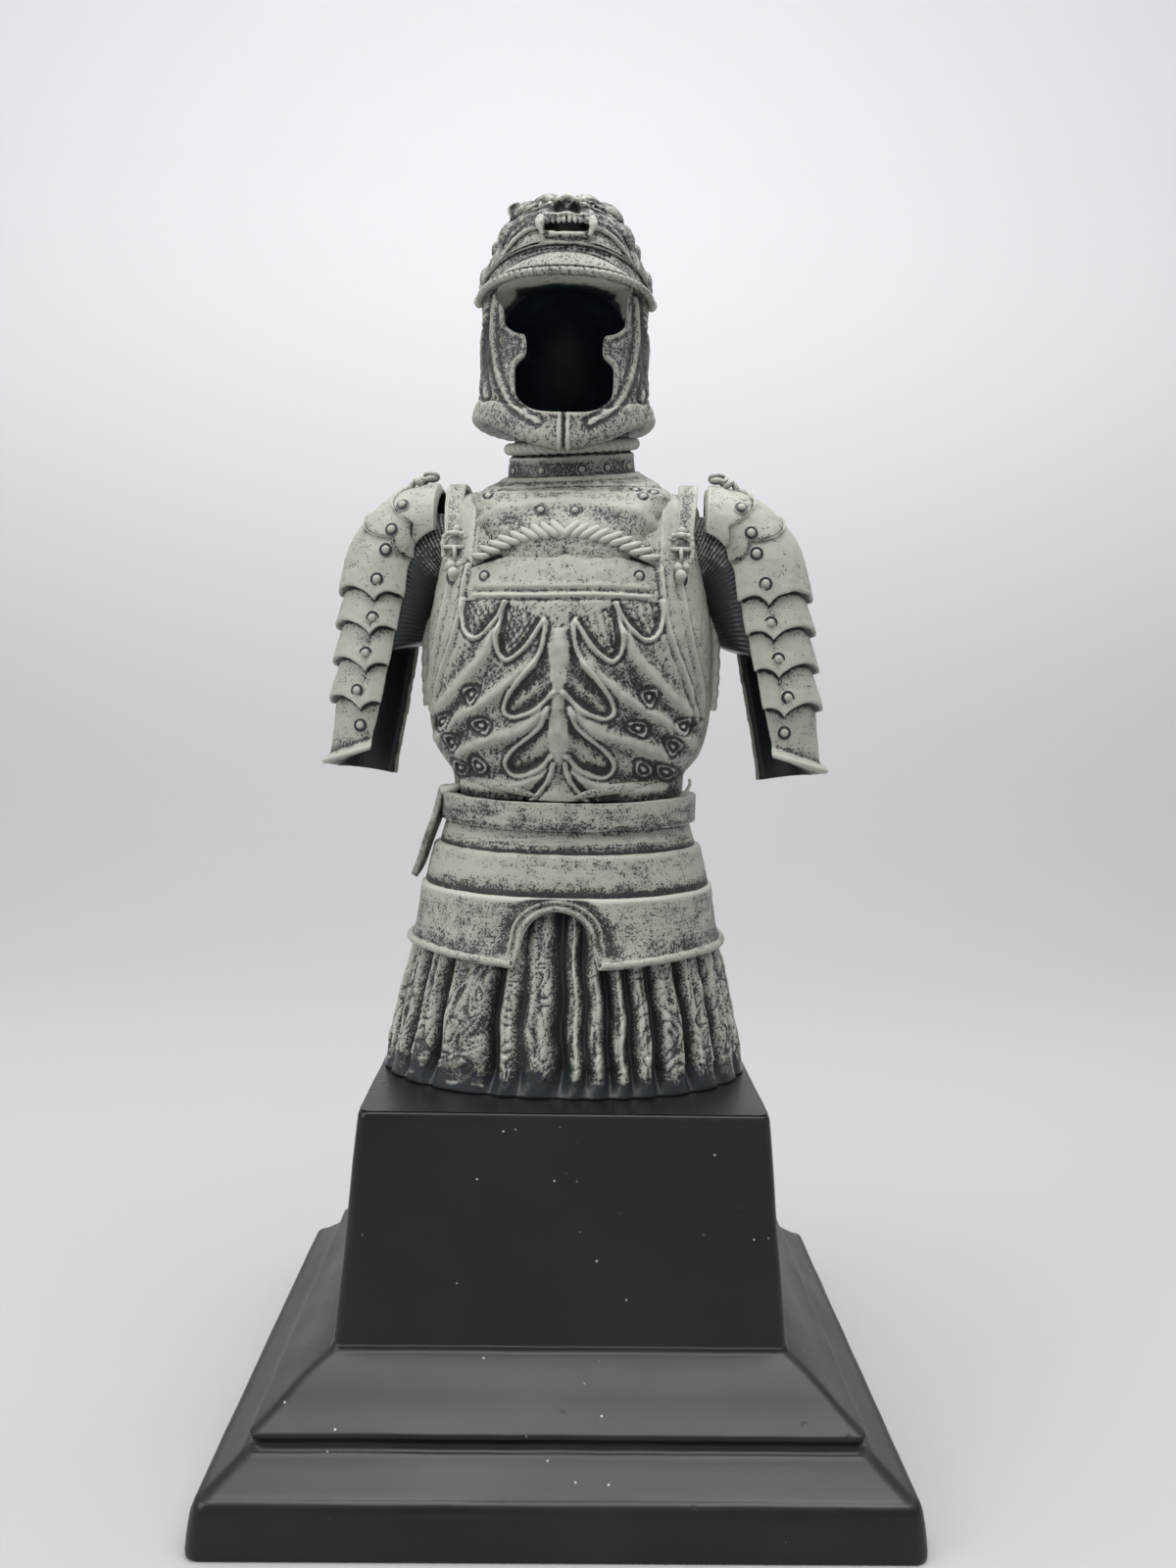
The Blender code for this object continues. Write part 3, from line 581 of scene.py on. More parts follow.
def plinth():
    """The square block on its moulded base, with soft corners."""
    profile_points = (
        (74.2, 0.0), (74.85, 0.25), (75.05, 1.2), (74.9, 3.4), (74.6, 6.2), (74.2, 8.8), (73.7, 10.5),
        (73.1, 11.35), (71.9, 11.9), (69.6, 13.6), (67.0, 15.6), (65.5, 16.9), (64.5, 17.35), (64.05, 17.9),
        (64.0, 18.8), (64.25, 19.6), (64.35, 20.1), (64.1, 20.75), (63.3, 21.4), (60.9, 23.2), (58.9, 24.9),
        (56.7, 26.9), (53.6, 29.4), (51.3, 30.9), (50.1, 31.6), (49.65, 32.5), (49.4, 34.0), (48.3, 46.0),
        (46.9, 62.0), (45.5, 79.0), (45.2, 81.6), (44.9, 82.3), (44.2, 82.65), (42.8, 82.7), (20.0, 82.7),
        (2.0, 82.7),
    )
    line = flowing(profile_points, 4)
    rings = []
    for half, height in line:
        radius = min(2.4 + 0.9 * (height < 20.4), half * 0.9)
        ring = []
        for corner in range(4):
            for step in range(9):
                angle = math.pi / 2 * corner + math.pi / 2 * step / 8
                ring.append(corner_point(half, radius, corner, angle))
            x0, y0 = ring[-1]
            x1, y1 = corner_point(half, radius, corner + 1, math.pi / 2 * (corner + 1))
            ring += [(x0 + (x1 - x0) * t, y0 + (y1 - y0) * t) for t in np.arange(1, 24) / 24]
        rings.append([(x, y, height) for x, y in ring])
    grid = np.array(rings)
    lift = 0.12 * waves(grid, 26, 3, 2) * (grid[..., 2] > 0.5)
    for axis in (0, 1):
        grid[..., axis] += lift * np.sign(grid[..., axis]) * (np.abs(grid[..., axis]) < 74)
    grid[..., 2] += 0.1 * waves(grid, 18, 5, 2) * (grid[..., 2] > 9) * (grid[..., 2] < 60)
    grid_piece("plinth_block", grid, STAND, lambda p: p * MM, replaces="plinth", slot="black_paint")


plinth()


# Skirt


def pleat_wave(turn):
    """Share of the way across a pleat, distance to the nearest valley, its depth, and the pleat."""
    valleys = np.array([v for v, _ in PLEATS] + [PLEATS[0][0] + 360.0])
    depths = np.array([d for _, d in PLEATS] + [PLEATS[0][1]])
    turn = (turn - valleys[0]) % 360 + valleys[0]
    index = np.clip(np.searchsorted(valleys, turn, side="right") - 1, 0, len(valleys) - 2)
    span = valleys[index + 1] - valleys[index]
    share = (turn - valleys[index]) / span
    depth = np.where(share < 0.5, depths[index], depths[index + 1])
    return share, np.minimum(share, 1 - share) * span * 0.66, depth, index


def skirt():
    """The pleated skirt, with creases, engraved curls on the crests and a dark foot."""
    rows, columns = 96, 600
    heights = np.linspace(-0.2, 44, rows)
    angles = bunched(columns, 0.3)
    x, y, h, grid = body_grid(SKIRT, heights, angles, 2.2)
    waver = 0.8 * waves(grid * (0.35, 0.35, 1), 16, 61, 2) * np.clip(1.3 - h / 40, 0.3, 1)
    share, d, depth, index = pleat_wave(np.degrees(angles)[None, :] + waver)
    gather = np.clip(1.15 - h / 70, 0.5, 1)
    fold = 1.15 * np.sin(math.pi * share) ** 0.7 - 2.9 * depth * np.exp(-((d / (1.25 + 0.25 * depth)) ** 2))
    rng = np.random.default_rng(8)
    split = rng.uniform(0.35, 0.65, 40)[index]
    fold -= 0.55 * bump(share - split, 0.1) * (h > 9)
    creases = 0.5 * waves(grid * (1, 1, 0.22), 4.2, 21, 2) * (h > 6)
    warp = grid + 1.3 * np.stack([waves(grid, 6, 70 + k, 1) for k in range(3)], -1)
    level = waves(warp, 6.5, 5, 1) * 3.2
    curls = np.abs(level - np.round(level))
    on_crest = np.clip(d / 1.6 - 0.5, 0, 1) * (h > 3.5) * np.clip((41 - h) / 8, 0, 1)
    lines = bump(curls, 0.12) * on_crest
    settled = np.clip(0.35 + h / 9, 0, 1)
    grid = raised(grid, fold * gather * settled + creases - 0.34 * lines + 0.4 * np.clip(1 - h / 3, 0, 1))
    grid[..., 2] = np.maximum(grid[..., 2], -0.25)
    valley = bump(d, 1.35) * depth
    tone = (
        0.75 + 0.9 * valley + 0.8 * lines - 0.5 * on_crest + 0.5 * waves(grid, 7, 44, 2)
        + 0.5 * np.clip(1 - h / 14, 0, 1)
    )
    black = np.clip(1.05 - h / 6.5 + 0.5 * waves(grid, 7, 45, 3), 0, 1) + 0.3 * valley
    black += 0.5 * np.clip((h - 34) / 6, 0, 1) * (np.abs(x) < 9) * (y < 0)
    grid_piece("skirt_pleats", grid, CLOTH, tone=tone, black=black, tips=(0, 1), passes=17, depth=0.42)


skirt()


# Belly lames, rolled rim and belt

ARCH_HALF, ARCH_TOP, RIM, RIM_DIP = 8.2, 41.8, 31.6, 2.4
LOWEST_LAME = ((31, 37.6, 31.5, 30.5), (38, 36.4, 30.5, 29.5), (46, 35.4, 29.7, 28.7))


def sag(angles, amount=1.2):
    """How far a band hangs down towards the front."""
    return -amount * np.clip(np.cos(angles), 0, 1) ** 2


def lame(name, rows, paint, amount=1.0, shade=()):
    """A closed band; its rows of (height, half width, front, back) run round its section.

    shade gives darker lines across the band as (height, reach, strength); those at its edges are painted
    shade in the gaps to the next band.
    """
    fine = flowing(rows, 5)
    angles = bunched(300)
    x, y = ovals(angles[None, :], fine[:, None, 1:])
    level = np.broadcast_to(fine[:, :1], x.shape)
    around = np.stack((np.broadcast_to(9 * angles, level.shape), 0 * level, level), -1)
    tone = 0.2 + 0.3 * waves(around, 5, 81, 3)
    for height, reach, strength in shade:
        tone = tone + bump(level - height, reach, strength)
    grid = np.stack((x, y, level + sag(angles, amount)[None, :]), -1)
    grid = raised(grid, 0.13 * waves(grid, 9, 4, 3))
    sheet(name, grid, quads(len(fine), len(angles), True, True), paint, tone, passes=10)


WAIST_ROWS = (
    (54.2, 29.2, 24.0, 23.0), (54.4, 31.1, 25.9, 24.9), (55.4, 31.3, 26.1, 25.1), (56.4, 31.1, 26.0, 25.0),
    (58, 30.7, 25.8, 24.8), (59.6, 30.2, 25.4, 24.4), (61, 29.9, 25.2, 24.2), (64.5, 29.2, 24.6, 23.6),
    (64.6, 27.5, 23, 22),
)
SECOND_ROWS = (
    (44.9, 32.4, 26.6, 25.6), (45.2, 34.3, 28.5, 27.5), (45.9, 34.8, 29.0, 28.0), (47.4, 34.5, 28.8, 27.8),
    (50, 34, 28.5, 27.5), (52.4, 33.4, 28.1, 27.1), (54.2, 33.0, 27.8, 26.8), (54.9, 32.6, 27.5, 26.5),
    (55.2, 32.1, 27.0, 26.0), (55.3, 30.8, 25.7, 24.7),
)
BELT_ROWS = (
    (61.2, 28.4, 23.8, 22.8), (61.1, 30.9, 26.4, 25.2), (61.5, 31.35, 26.8, 25.6), (64.4, 31.3, 26.9, 25.5),
    (67.0, 31.35, 26.9, 25.6), (67.5, 30.9, 26.5, 25.3), (67.3, 28.0, 23.6, 22.6),
)
# The shade lines at these bands' edges are painted shade in the gaps where one band meets the next.
lame("waist_lame", WAIST_ROWS, BRUSHED, shade=((55.3, 0.8, 1.9), (56.6, 1.5, 0.7), (61.2, 1.3, 1.0)))
lame("second_lame", SECOND_ROWS, PLATE, shade=((46.2, 0.9, 1.9), (47.6, 1.6, 0.6), (53.4, 1.2, 0.35)))


def low_edge(angles, x):
    """Height of the lowest lame's edge: a rim that dips to the front, cut by an arch."""
    rim = RIM - RIM_DIP * np.clip(np.cos(angles), 0, 1) ** 4
    spring = ARCH_TOP - ARCH_HALF
    arch = spring + np.sqrt(np.clip(ARCH_HALF**2 - x**2, 0, None))
    share = np.clip((np.abs(x) - ARCH_HALF) / (0.14 * ARCH_HALF), 0, 1)
    side = spring + (rim - spring) * share
    return np.where(np.abs(x) < ARCH_HALF, arch, side)


def lowest_lame():
    """The lowest lame with its rolled rim, and the two cords round its edge and arch."""
    near = np.arcsin(np.linspace(-1, 1, 121)) / math.pi * 2
    inner = ARCH_HALF * np.sin(near * math.pi / 2)
    step = np.linspace(0, 1, 12)[1:]
    outer = ARCH_HALF * (1 + 0.14 * step)
    x_front = np.concatenate((-outer[::-1], inner, outer))
    half, front = 37.0, 31.0
    a_front = np.sign(x_front) * np.arcsin(np.clip(np.abs(x_front) / half, 0, 1) ** (2.3 / 2))
    side = np.linspace(a_front[-1], 2 * math.pi - a_front[-1], 340)[1:-1]
    angles = np.concatenate((a_front, side))
    x_at = half * np.sign(np.sin(angles)) * np.abs(np.sin(angles)) ** (2 / 2.3)
    front_side = np.cos(angles) > 0
    edge = np.where(front_side, low_edge(angles, x_at), RIM)
    top = 45.7 + sag(angles, 1.0)
    section = [(-0.2, -2.2), (0.0, -1.4), (0.012, -0.4), (0.03, 0.15)]
    section += [(t, 0.2) for t in np.linspace(0.06, 0.9, 22)]
    section += [(0.93, 0.25), (0.96, 0.1), (0.98, 0.4), (1.0, 0.75), (1.03, 0.55), (1.045, 0.0),
        (1.02, -0.9), (0.9, -1.6), (0.6, -1.8)]
    rows = []
    for t, lift in section:
        height = top + (edge - top) * t
        sizes = profile(LOWEST_LAME, height)
        flare = 0.75 * np.clip((36 - height) / 5, 0, 1) ** 2
        x, y = ovals(angles, sizes, 2.3, lift + flare)
        rows.append(np.stack((x, y, height), -1))
    grid = np.array(rows)[::-1]
    grid = raised(grid, 0.1 * waves(grid, 10, 9, 2))
    down = np.array([t for t, _ in section])[::-1, None] + 0 * x
    tone = 0.5 * bump(down - 0.9, 0.16) + 0.3 * bump(down, 0.1) * (down > 0)
    arch = np.hypot(x, np.clip(grid[..., 2] - ARCH_TOP + ARCH_HALF, 0, None)) * (y < 0) * (np.abs(x) < 22)
    tone += 0.9 * bump(arch - 11.6, 1.4) * (grid[..., 2] > 32) + 0.35 * waves(grid, 9, 82, 3) + 0.65
    sheet("lowest_lame", grid, quads(len(rows), len(angles), True, True), PLATE, tone, passes=10)
    line = []
    for x in x_front * 1.07:
        base = low_edge(np.array([0.0]), np.array([x / 1.07]))[0]
        height = base + (0.6 if abs(x) < ARCH_HALF * 1.07 else 0.2)
        sizes = profile(LOWEST_LAME, np.array([height]))[0]
        y = -sizes[1] * (1 - (abs(x) / sizes[0]) ** 2.3) ** (1 / 2.3) - 0.35
        line.append((x, y, height))
    store = gathered()
    add_grid(store, tube(line, 0.62, 12), tone=0.6)
    outer_line = [(x * 1.17, y + 0.15, h + (1.5 if abs(x) < ARCH_HALF * 1.12 else 0.6)) for x, y, h in line]
    add_grid(store, tube(outer_line, 0.4, 12), tone=0.6)
    rim_angles = np.linspace(a_front[-1] * 1.08, 2 * math.pi - a_front[-1] * 1.08, 300)
    height = RIM - RIM_DIP * np.clip(np.cos(rim_angles), 0, 1) ** 4 + 0.3
    sizes = profile(((31, 38.5, 32.3, 31.2), (38, 37, 31, 30)), height)
    x, y = ovals(rim_angles, sizes)
    rolled = np.stack((x, y, height), -1)
    uneven = tube(rolled, 0.95, 10, (0, 0, 1), shape=lambda i, t: 1 + 0.1 * np.sin(i * 0.9) * np.sin(t))
    add_grid(store, uneven, tone=0.6)
    gathered_piece("rolled_rim", store, PLATE, passes=3, depth=0.45)


lowest_lame()
# The belt's lower shade line is painted shade in the gap at its lower edge; the broad one darkens the whole
# belt.
lame("belt", BELT_ROWS, PLATE, 1.3, shade=((61.6, 0.8, 0.9), (64.3, 3, 0.55)))


# Breastplate and backplate

# Half of each line on the breast, as (x, height); the other half is mirrored about the middle
LOBES = (
    ((22.9, 112.6), (23.2, 108.8), (22.1, 105.2), (19.8, 103.7), (17, 105.4), (14.6, 108.4), (12.7, 111.8)),
    ((12.7, 111.8), (13.9, 106.5), (14.2, 102.6), (13.6, 99.9), (11.9, 98.7), (9.9, 99.8), (7.3, 102.2),
        (3.6, 107.9)),
    ((3.2, 107.2), (3.6, 102.4), (5.7, 97.8), (8.7, 94.2), (11.6, 90.4), (12.6, 87.4), (11.4, 85.9),
        (9.4, 85.9), (5, 87.8), (1.2, 91.6)),
    ((2.6, 88), (4, 83.9), (7.2, 80.9), (10.6, 78.2), (12.5, 75.4), (12, 73.1), (9.7, 72.2), (6.4, 73.2),
        (3.7, 74.8), (1.8, 77)),
    ((1.4, 75.2), (2.4, 71.8), (4.6, 68.6), (7.2, 66.2), (10.2, 65)),
)
RIBS = (
    ((14.9, 104.8), (17.4, 99.6), (22.4, 94.1), (29.4, 87.2)),
    ((5.9, 97.5), (10.6, 94.2), (17, 89.4), (24, 85.5), (30.4, 80.4)),
    ((4, 86.8), (8.5, 82.9), (15.2, 80.9), (24, 77.6)),
    ((3, 72.8), (9.4, 70.3), (16.2, 69.2), (23, 69.6)),
)
SIDE_LINES = (
    ((22.4, 120.6), (25, 105.6), (29.6, 94), (31.8, 86)),
    ((26.8, 119), (29.6, 106), (32.6, 94), (33.2, 87)),
)
ROUNDELS = ((20.6, 90.8), (28.4, 84.3), (18.2, 83.6), (26.3, 79.4), (24.7, 73.2), (19.4, 74))
MIDDLE = -0.5


def both_sides(line, middle=MIDDLE):
    """The line flowing, on both sides of the middle."""
    line = flowing(line)
    return [line * (side, 1) + (middle, 0) for side in (-1, 1)]


def breast_relief(x, h):
    """Height and darkness of the carving on the front."""
    rise = np.zeros(x.shape)
    tone = np.zeros(x.shape)
    middle = x - MIDDLE
    below = np.clip((113 - h) / 2.5, 0, 1)
    tone += 0.5 * below
    trunk = distance(x, h, ((MIDDLE, 104), (MIDDLE, 66)), 12)
    width = 2.2 + 3.2 * np.abs(np.sin((h - 73.5) / 15.5 * math.pi)) * (h < 106)
    leaf = np.clip(1 - trunk / width, 0, 1)
    rise += 0.8 * leaf * (3 - 2 * leaf) * leaf * (h < 106)
    tone -= 0.55 * np.clip(1.5 - trunk / width, 0, 1) * (h < 106)
    for line in RIBS:
        for half in both_sides(line):
            d = distance(x, h, half, 8)
            rise += bump(d, 1.5, 1.0) - bump(d - 3.4, 1.2, 0.25)
            tone += 0.3 * bump(d - 2.8, 1.1) - 0.75 * bump(d, 1.2)
    hatch = np.sin(4.6 * (0.8 * x + 0.35 * h) + 1.4 * np.sin(0.7 * h + 0.4 * x))
    for k, line in enumerate(LOBES):
        for half in both_sides(line):
            d = distance(x, h, half)
            within = inside(x, h, half)
            sunk = within * (0.55 * np.exp(-np.clip(d - 0.8, 0, None) / 2.6)) * np.clip(d / 0.8, 0, 1)
            rise += bump(d, 0.42, 0.62) - sunk
            rise -= bump(d - 0.95, 0.35, 0.22) * ~within
            if k == 1:
                rise += (bump(d - 1.9, 0.22, 0.22) + bump(d - 2.9, 0.22, 0.16)) * within
            rise -= 0.09 * within * hatch * (k < 2)
            tone += within * (0.2 + bump(np.clip(d - 0.6, 0, None), 2.2, 0.55)) * np.clip(d / 0.5, 0, 1)
            tone -= 1.1 * bump(d, 0.45)
    for cx, ch in ROUNDELS:
        for side in (-1, 1):
            dx, dh = middle - side * cx, h - ch
            turn = np.arctan2(dh, dx)
            uneven = 1 + 0.14 * np.sin(2 * turn + cx) + 0.08 * np.sin(3 * turn + ch)
            d = np.sqrt((dx * 0.9) ** 2 + (dh * 1.1) ** 2) * uneven
            rise += (
                bump(d - 1.6, 0.35, 0.16) - bump(d - 0.95, 0.3, 0.5) + bump(d, 0.5, 0.4)
                - bump(d - 2.3, 0.4, 0.35)
            )
            tone += 1.15 * bump(d - 1.5, 1.5) - 0.3 * bump(d, 0.4)
    ridge = h - (113.5 + 0.15 * np.sin(x / 6))
    across = np.clip((20.8 - np.abs(middle)) / 1.5, 0, 1)
    moulding = bump(ridge, 0.34, 0.45) - bump(ridge + 0.95, 0.4, 0.3) - bump(ridge - 1.1, 0.5, 0.35)
    rise += (moulding + bump(ridge - 2.2, 0.6, 0.2)) * across
    tone += (0.5 * bump(ridge + 1.0, 0.6) - 0.6 * bump(ridge, 0.5)) * across
    for line in SIDE_LINES:
        for half in both_sides(line):
            d = distance(x, h, half)
            rise += bump(d, 0.45, 0.5) - bump(d - 1.0, 0.5, 0.3)
            tone -= 0.5 * bump(d, 0.7)
    side_panel = np.clip((np.abs(middle) - 23.5 - (h < 100) * (100 - h) * 0.45) / 1.5, 0, 1)
    side_panel = side_panel * (h > 86) * (h < 119)
    tone -= 0.4 * side_panel
    arc = 120.9 + 3.6 * np.clip(1 - (x / 21) ** 2, 0, 1) - h
    rise -= bump(arc, 0.55, 0.55) * (np.abs(x) < 22)
    rise -= 0.6 * np.clip((h - 123.6 + 0.008 * x**2) / 1.5, 0, 1) * (np.abs(x) < 22)
    tone -= 0.1 * (h > 114.5)
    tone += (0.9 * bump(arc, 1.2) + 0.7 * (arc < 0)) * (np.abs(x) < 21) * (h > 114)
    tone += 0.5 * np.clip((np.abs(middle) - 19.5) / 3, 0, 1) * (h > 113) * (h < 124)
    tone += 0.9 * np.clip((71.5 - h) / 4, 0, 1) * (np.abs(middle) > 8)
    return rise, tone


def cuirass():
    """The breastplate, the backplate and the deck that closes the shoulders."""
    rows, columns = 224, 340
    heights = np.linspace(66.6, 139.4, rows)
    angles = np.radians(np.linspace(-104, 104, columns))
    x, y, h, grid = body_grid(CUIRASS, heights, angles)
    front = np.clip((np.cos(angles)[None, :] - 0.02) / 0.25, 0, 1)
    rise, tone = breast_relief(x, h)
    tone += 0.3 * waves(grid, 11, 77, 2)
    grain = 0.16 * waves(grid, 5.5, 2, 3)
    stipple = np.clip(waves(grid, 1.5, 31, 2) - 0.2, 0, 1) * np.clip(tone + 0.2, 0, 1)
    grid = raised(grid, rise * front + grain - 0.4 * stipple, closed=False)
    sheet("breastplate", grid, quads(rows, columns, False), CARVED, tone * front, passes=12, depth=0.2)
    rows, columns = 96, 120
    heights = np.linspace(66.6, 139.4, rows)
    angles = np.radians(np.linspace(104, 256, columns))
    x, y, h, grid = body_grid(CUIRASS, heights, angles)
    spine = bump(x, 1.2, -0.8) * np.clip((h - 72) / 8, 0, 1)
    blades = 0.9 * np.exp(-(((np.abs(x) - 13) / 7) ** 2 + ((h - 116) / 12) ** 2))
    edge = bump(np.abs(x) - 26, 0.8, 0.6) + bump(h - 132, 0.7, 0.5) * (np.abs(x) < 26)
    grid = raised(grid, spine + blades + edge + 0.14 * waves(grid, 6, 12, 3), closed=False)
    sheet("backplate", grid, quads(rows, columns, False), PLATE, np.full(x.shape, 0.12), passes=5, depth=0.3)
    top = np.array([(139.4, 27.8, 11.7, 12.7), (140.4, 24, 9.5, 10.5), (141, 14, 6, 6)])
    x, y = ovals(np.radians(np.linspace(-180, 180, 96, endpoint=False))[None, :], top[:, None, 1:])
    grid = np.stack((x, y, np.broadcast_to(top[:, :1], x.shape)), -1)
    grid_piece("shoulder_deck", grid, MAIL, tone=0.5)


cuirass()


# Gorget, collar and neck


def gorget():
    """The gorget with its raised edge and studs, the leaning collar and the neck."""
    rows, columns = 130, 260
    heights = np.linspace(121, 158, rows)
    angles = bunched(columns)
    share = np.clip((heights - 138) / 6, 0, 1)[:, None]
    x, y, h, plain = body_grid(GORGET, heights, angles, 3.4 - 1.3 * share)
    lean = share * (0.2 * y + 0.05 * x)
    front = y < 0
    rise = np.zeros(x.shape)
    tone = np.zeros(x.shape) + 0.35
    field = flowing(((-22, 129.6), (-17, 133.0), (-9.3, 134.6), (-0.5, 135.6), (8.2, 134.6), (16.8, 133.0),
        (21, 129.6)))
    d = distance(x, h, field, 8)
    rise += bump(d, 1.3, 0.55) * front
    under = (h < 134) & front
    tone += 0.35 * bump(d - 2.6, 1.6) * under + 0.25 * under - 0.3 * bump(d, 1.2) * front
    tone += 0.25 * front * (h > 136) + 0.3 * waves(plain, 9, 78, 2)
    for stud_x, stud_h in ((18.2, 137.4), (20.6, 139.3), (16.4, 140.0)):
        for side in (-1, 1):
            d = np.sqrt((x - side * stud_x - NECK_SHIFT) ** 2 + 1.6 * (h - stud_h) ** 2)
            rise += (bump(d, 0.7, 0.3) - bump(d - 1.1, 0.3, 0.3)) * front
            tone += 1.1 * bump(d - 1.1, 0.4) * front
    for stud_x in (-5.7, 2.1):
        d = np.sqrt((x - stud_x) ** 2 + (h - 133.1) ** 2)
        tone += 1.5 * bump(d - 1.15, 0.35) * front
    for height, size in ((141.6, -0.5), (144.6, 0.5), (149.4, 0.35)):
        rise += bump(h - height, 0.4, size)
    collar = (h > 145.2) & (h < 148.4)
    tone += 0.65 * collar + 0.6 * ((h > 149.6) & (h < 152)) + 0.75 * (h > 152)
    for height in np.arange(153, 158, 1.1):
        rise += bump(h - height, 0.35, 0.3)
    grid = np.stack((x + NECK_SHIFT * share, y, h + lean), -1)
    grid = raised(grid, rise + 0.14 * waves(grid, 4, 14, 3))
    grid_piece("gorget_and_collar", grid, PLATE, tone=tone, tips=(0, None), passes=8, depth=0.22)


gorget()


def neck_rope():
    """The twisted flange round the top of the collar."""
    turn = np.linspace(-math.pi, math.pi, 361)
    sizes = np.tile((15.2, 13.8, 13.8), (361, 1))
    x, y = ovals(turn, sizes, 2.1)
    height = 151.9 + 0.2 * y + 0.05 * x
    path = np.stack((x + NECK_SHIFT, y, height), -1)
    twist = 46

    def strands(i, t):
        return 0.86 + 0.22 * np.abs(np.cos(t + i / 360 * math.pi * twist))

    grid = tube(path, 1.35, 14, along=(0, 0, 1), shape=strands)
    grid_piece("neck_rope", grid, CARVED, tone=0.15, passes=5, depth=0.16)


neck_rope()


def chest_y(x, h):
    """Y of the breastplate's plain front."""
    sizes = profile(CUIRASS, np.atleast_1d(np.asarray(h, float)))
    share = np.clip(np.abs(x) / sizes[:, 0], 0, 0.98)
    return (-sizes[:, 1] * (1 - share**2.3) ** (1 / 2.3)).reshape(np.shape(h))


def rope_swag():
    """The laurel rope across the chest: short bent strands that spread from the middle over a dark bed."""
    x = np.linspace(-21.4, 21.4, 201)
    share = np.abs(x) / 21.4
    h = 128.7 - 7.4 * share**1.9
    size = 2.3 * (1 - 0.6 * share**2.4)
    store = gathered()
    bed = np.stack((x, chest_y(x, h) - 0.1, h), -1)
    add_grid(store, tube(bed, size, 18, flat=0.5), tone=1.1, black=0.35)
    rng = np.random.default_rng(6)
    for side in (-1, 1):
        for k in range(9):
            out = 1.4 + 2.25 * k
            lean = math.radians(43 - 4.4 * k + rng.uniform(-4, 4))
            length = (3.3 - 0.12 * k) * rng.uniform(0.93, 1.07)
            centre = 129.0 - 7.4 * (out / 21.4) ** 1.9
            line = []
            for t in np.linspace(-1, 1, 5):
                across = out + length * t * math.cos(lean)
                up = centre + length * t * math.sin(lean) - 0.35 * (1 - t * t)
                line.append((side * across, float(chest_y(across, up)) - 1.0 - 0.7 * (1 - t * t), up))
            path = flowing(line, 5)
            radius = 1.02 - 0.035 * k
            along = np.linspace(-1, 1, len(path))
            radii = radius * (0.35 + 0.65 * np.sqrt(np.clip(1 - along**2, 0, 1)))
            add_grid(store, tube(path, radii, 12), tone=0.15)
    gathered_piece("laurel_rope", store, CARVED, passes=7, depth=0.24)


rope_swag()


def twisted(low, rise, step):
    """Share of the radius round a twisted cord, for a tube's shape."""
    return lambda i, t: low + rise * np.abs(np.cos(0.5 * t + i * step))


SIDE_CORD = (
    (30.6, -7, 121), (32.9, -5, 116), (34.6, -4, 110), (35.4, -3, 102), (35.3, -3, 94), (34.8, -3, 88),
)


def corded_seams():
    """The corded edge down both sides of the breastplate."""
    store = gathered()
    for side in (-1, 1):
        path = flowing([(side * a, b, c) for a, b, c in SIDE_CORD], 40)
        grid = tube(path, 1.15, 12, along=(side, 0, 0), shape=twisted(0.84, 0.24, 0.16))
        add_grid(store, grid, tone=0.8)
    gathered_piece("side_cords", store, CARVED, passes=5, depth=0.16)


corded_seams()

# Arms

SHOULDER_X, SHOULDER_HEIGHT = 32, 118.6
ELBOW_RADIUS, ELBOW_END, ARM_LENGTH = 12.4, math.radians(81.6), 49.4
BEND = ELBOW_RADIUS * ELBOW_END
ARM_END = BEND + ARM_LENGTH
FRONT_EDGE, CUFF_EDGE, BACK_EDGE, RIVET_LINE = (math.radians(a) for a in (-115, -103, 127, -83))
PLATES = ((5, -1.1), (10.2, -0.8), (25.4, 1), (33.7, 1), (42.6, 1), (51.9, 1))
# (place along the arm, turn from its outermost line in degrees) of each rivet
ARM_RIVETS = ((5.6, -55), (9.4, -75), (13.4, -85), (20.4, -84), (29.6, -84), (38.2, -81), (47.4, -76),
    (55.6, -84))
# Mail sleeve: (distance out from the shoulder, height above it, half width, half depth, lean in degrees)
SLEEVE = (
    (-6, 9.4, 6, 9, 80),
    (1, 8.4, 9, 10.4, 62),
    (6.6, 2.4, 9.6, 11.3, 38),
    (10, -6.6, 9, 11.1, 14),
    (13, -17.3, 8.4, 10.8, -14),
)


def arm_points(side, along, turn, lift):
    """Points on the arm guard: along the arm, turned from its outermost line, and lifted."""
    angle = np.clip(along / ELBOW_RADIUS, 0, ELBOW_END)
    rest = np.clip(along - BEND, 0, None)
    x = SHOULDER_X + ELBOW_RADIUS * np.sin(angle) + rest * np.cos(angle)
    height = SHOULDER_HEIGHT + ELBOW_RADIUS * np.cos(angle) - rest * np.sin(angle)
    share = np.clip((along - 14) / ARM_LENGTH, 0, 1)
    outward = (11.8 - 2.4 * share + lift) * np.cos(turn)
    y = (12.6 - 1.6 * share + lift) * np.sin(turn)
    sway = np.clip(along / ARM_LENGTH, None, 1)
    return np.stack((side * (x + outward * np.sin(angle)) + sway, y, height + outward * np.cos(angle)), -1)


def scallop(turn):
    """How far a plate's scalloped edge draws back."""
    offset = turn - RIVET_LINE
    share = np.clip(np.abs(offset) / np.radians(np.where(offset < 0, 45, 82)), 0, 1)
    return 2.6 * np.sin(math.pi * share**0.75)


def cuff_slant(turn):
    """How far the cuff's slanted end draws back."""
    return np.where(turn < 0, 7 * (1 - np.cos(turn)) / (1 - math.cos(FRONT_EDGE)), 0)


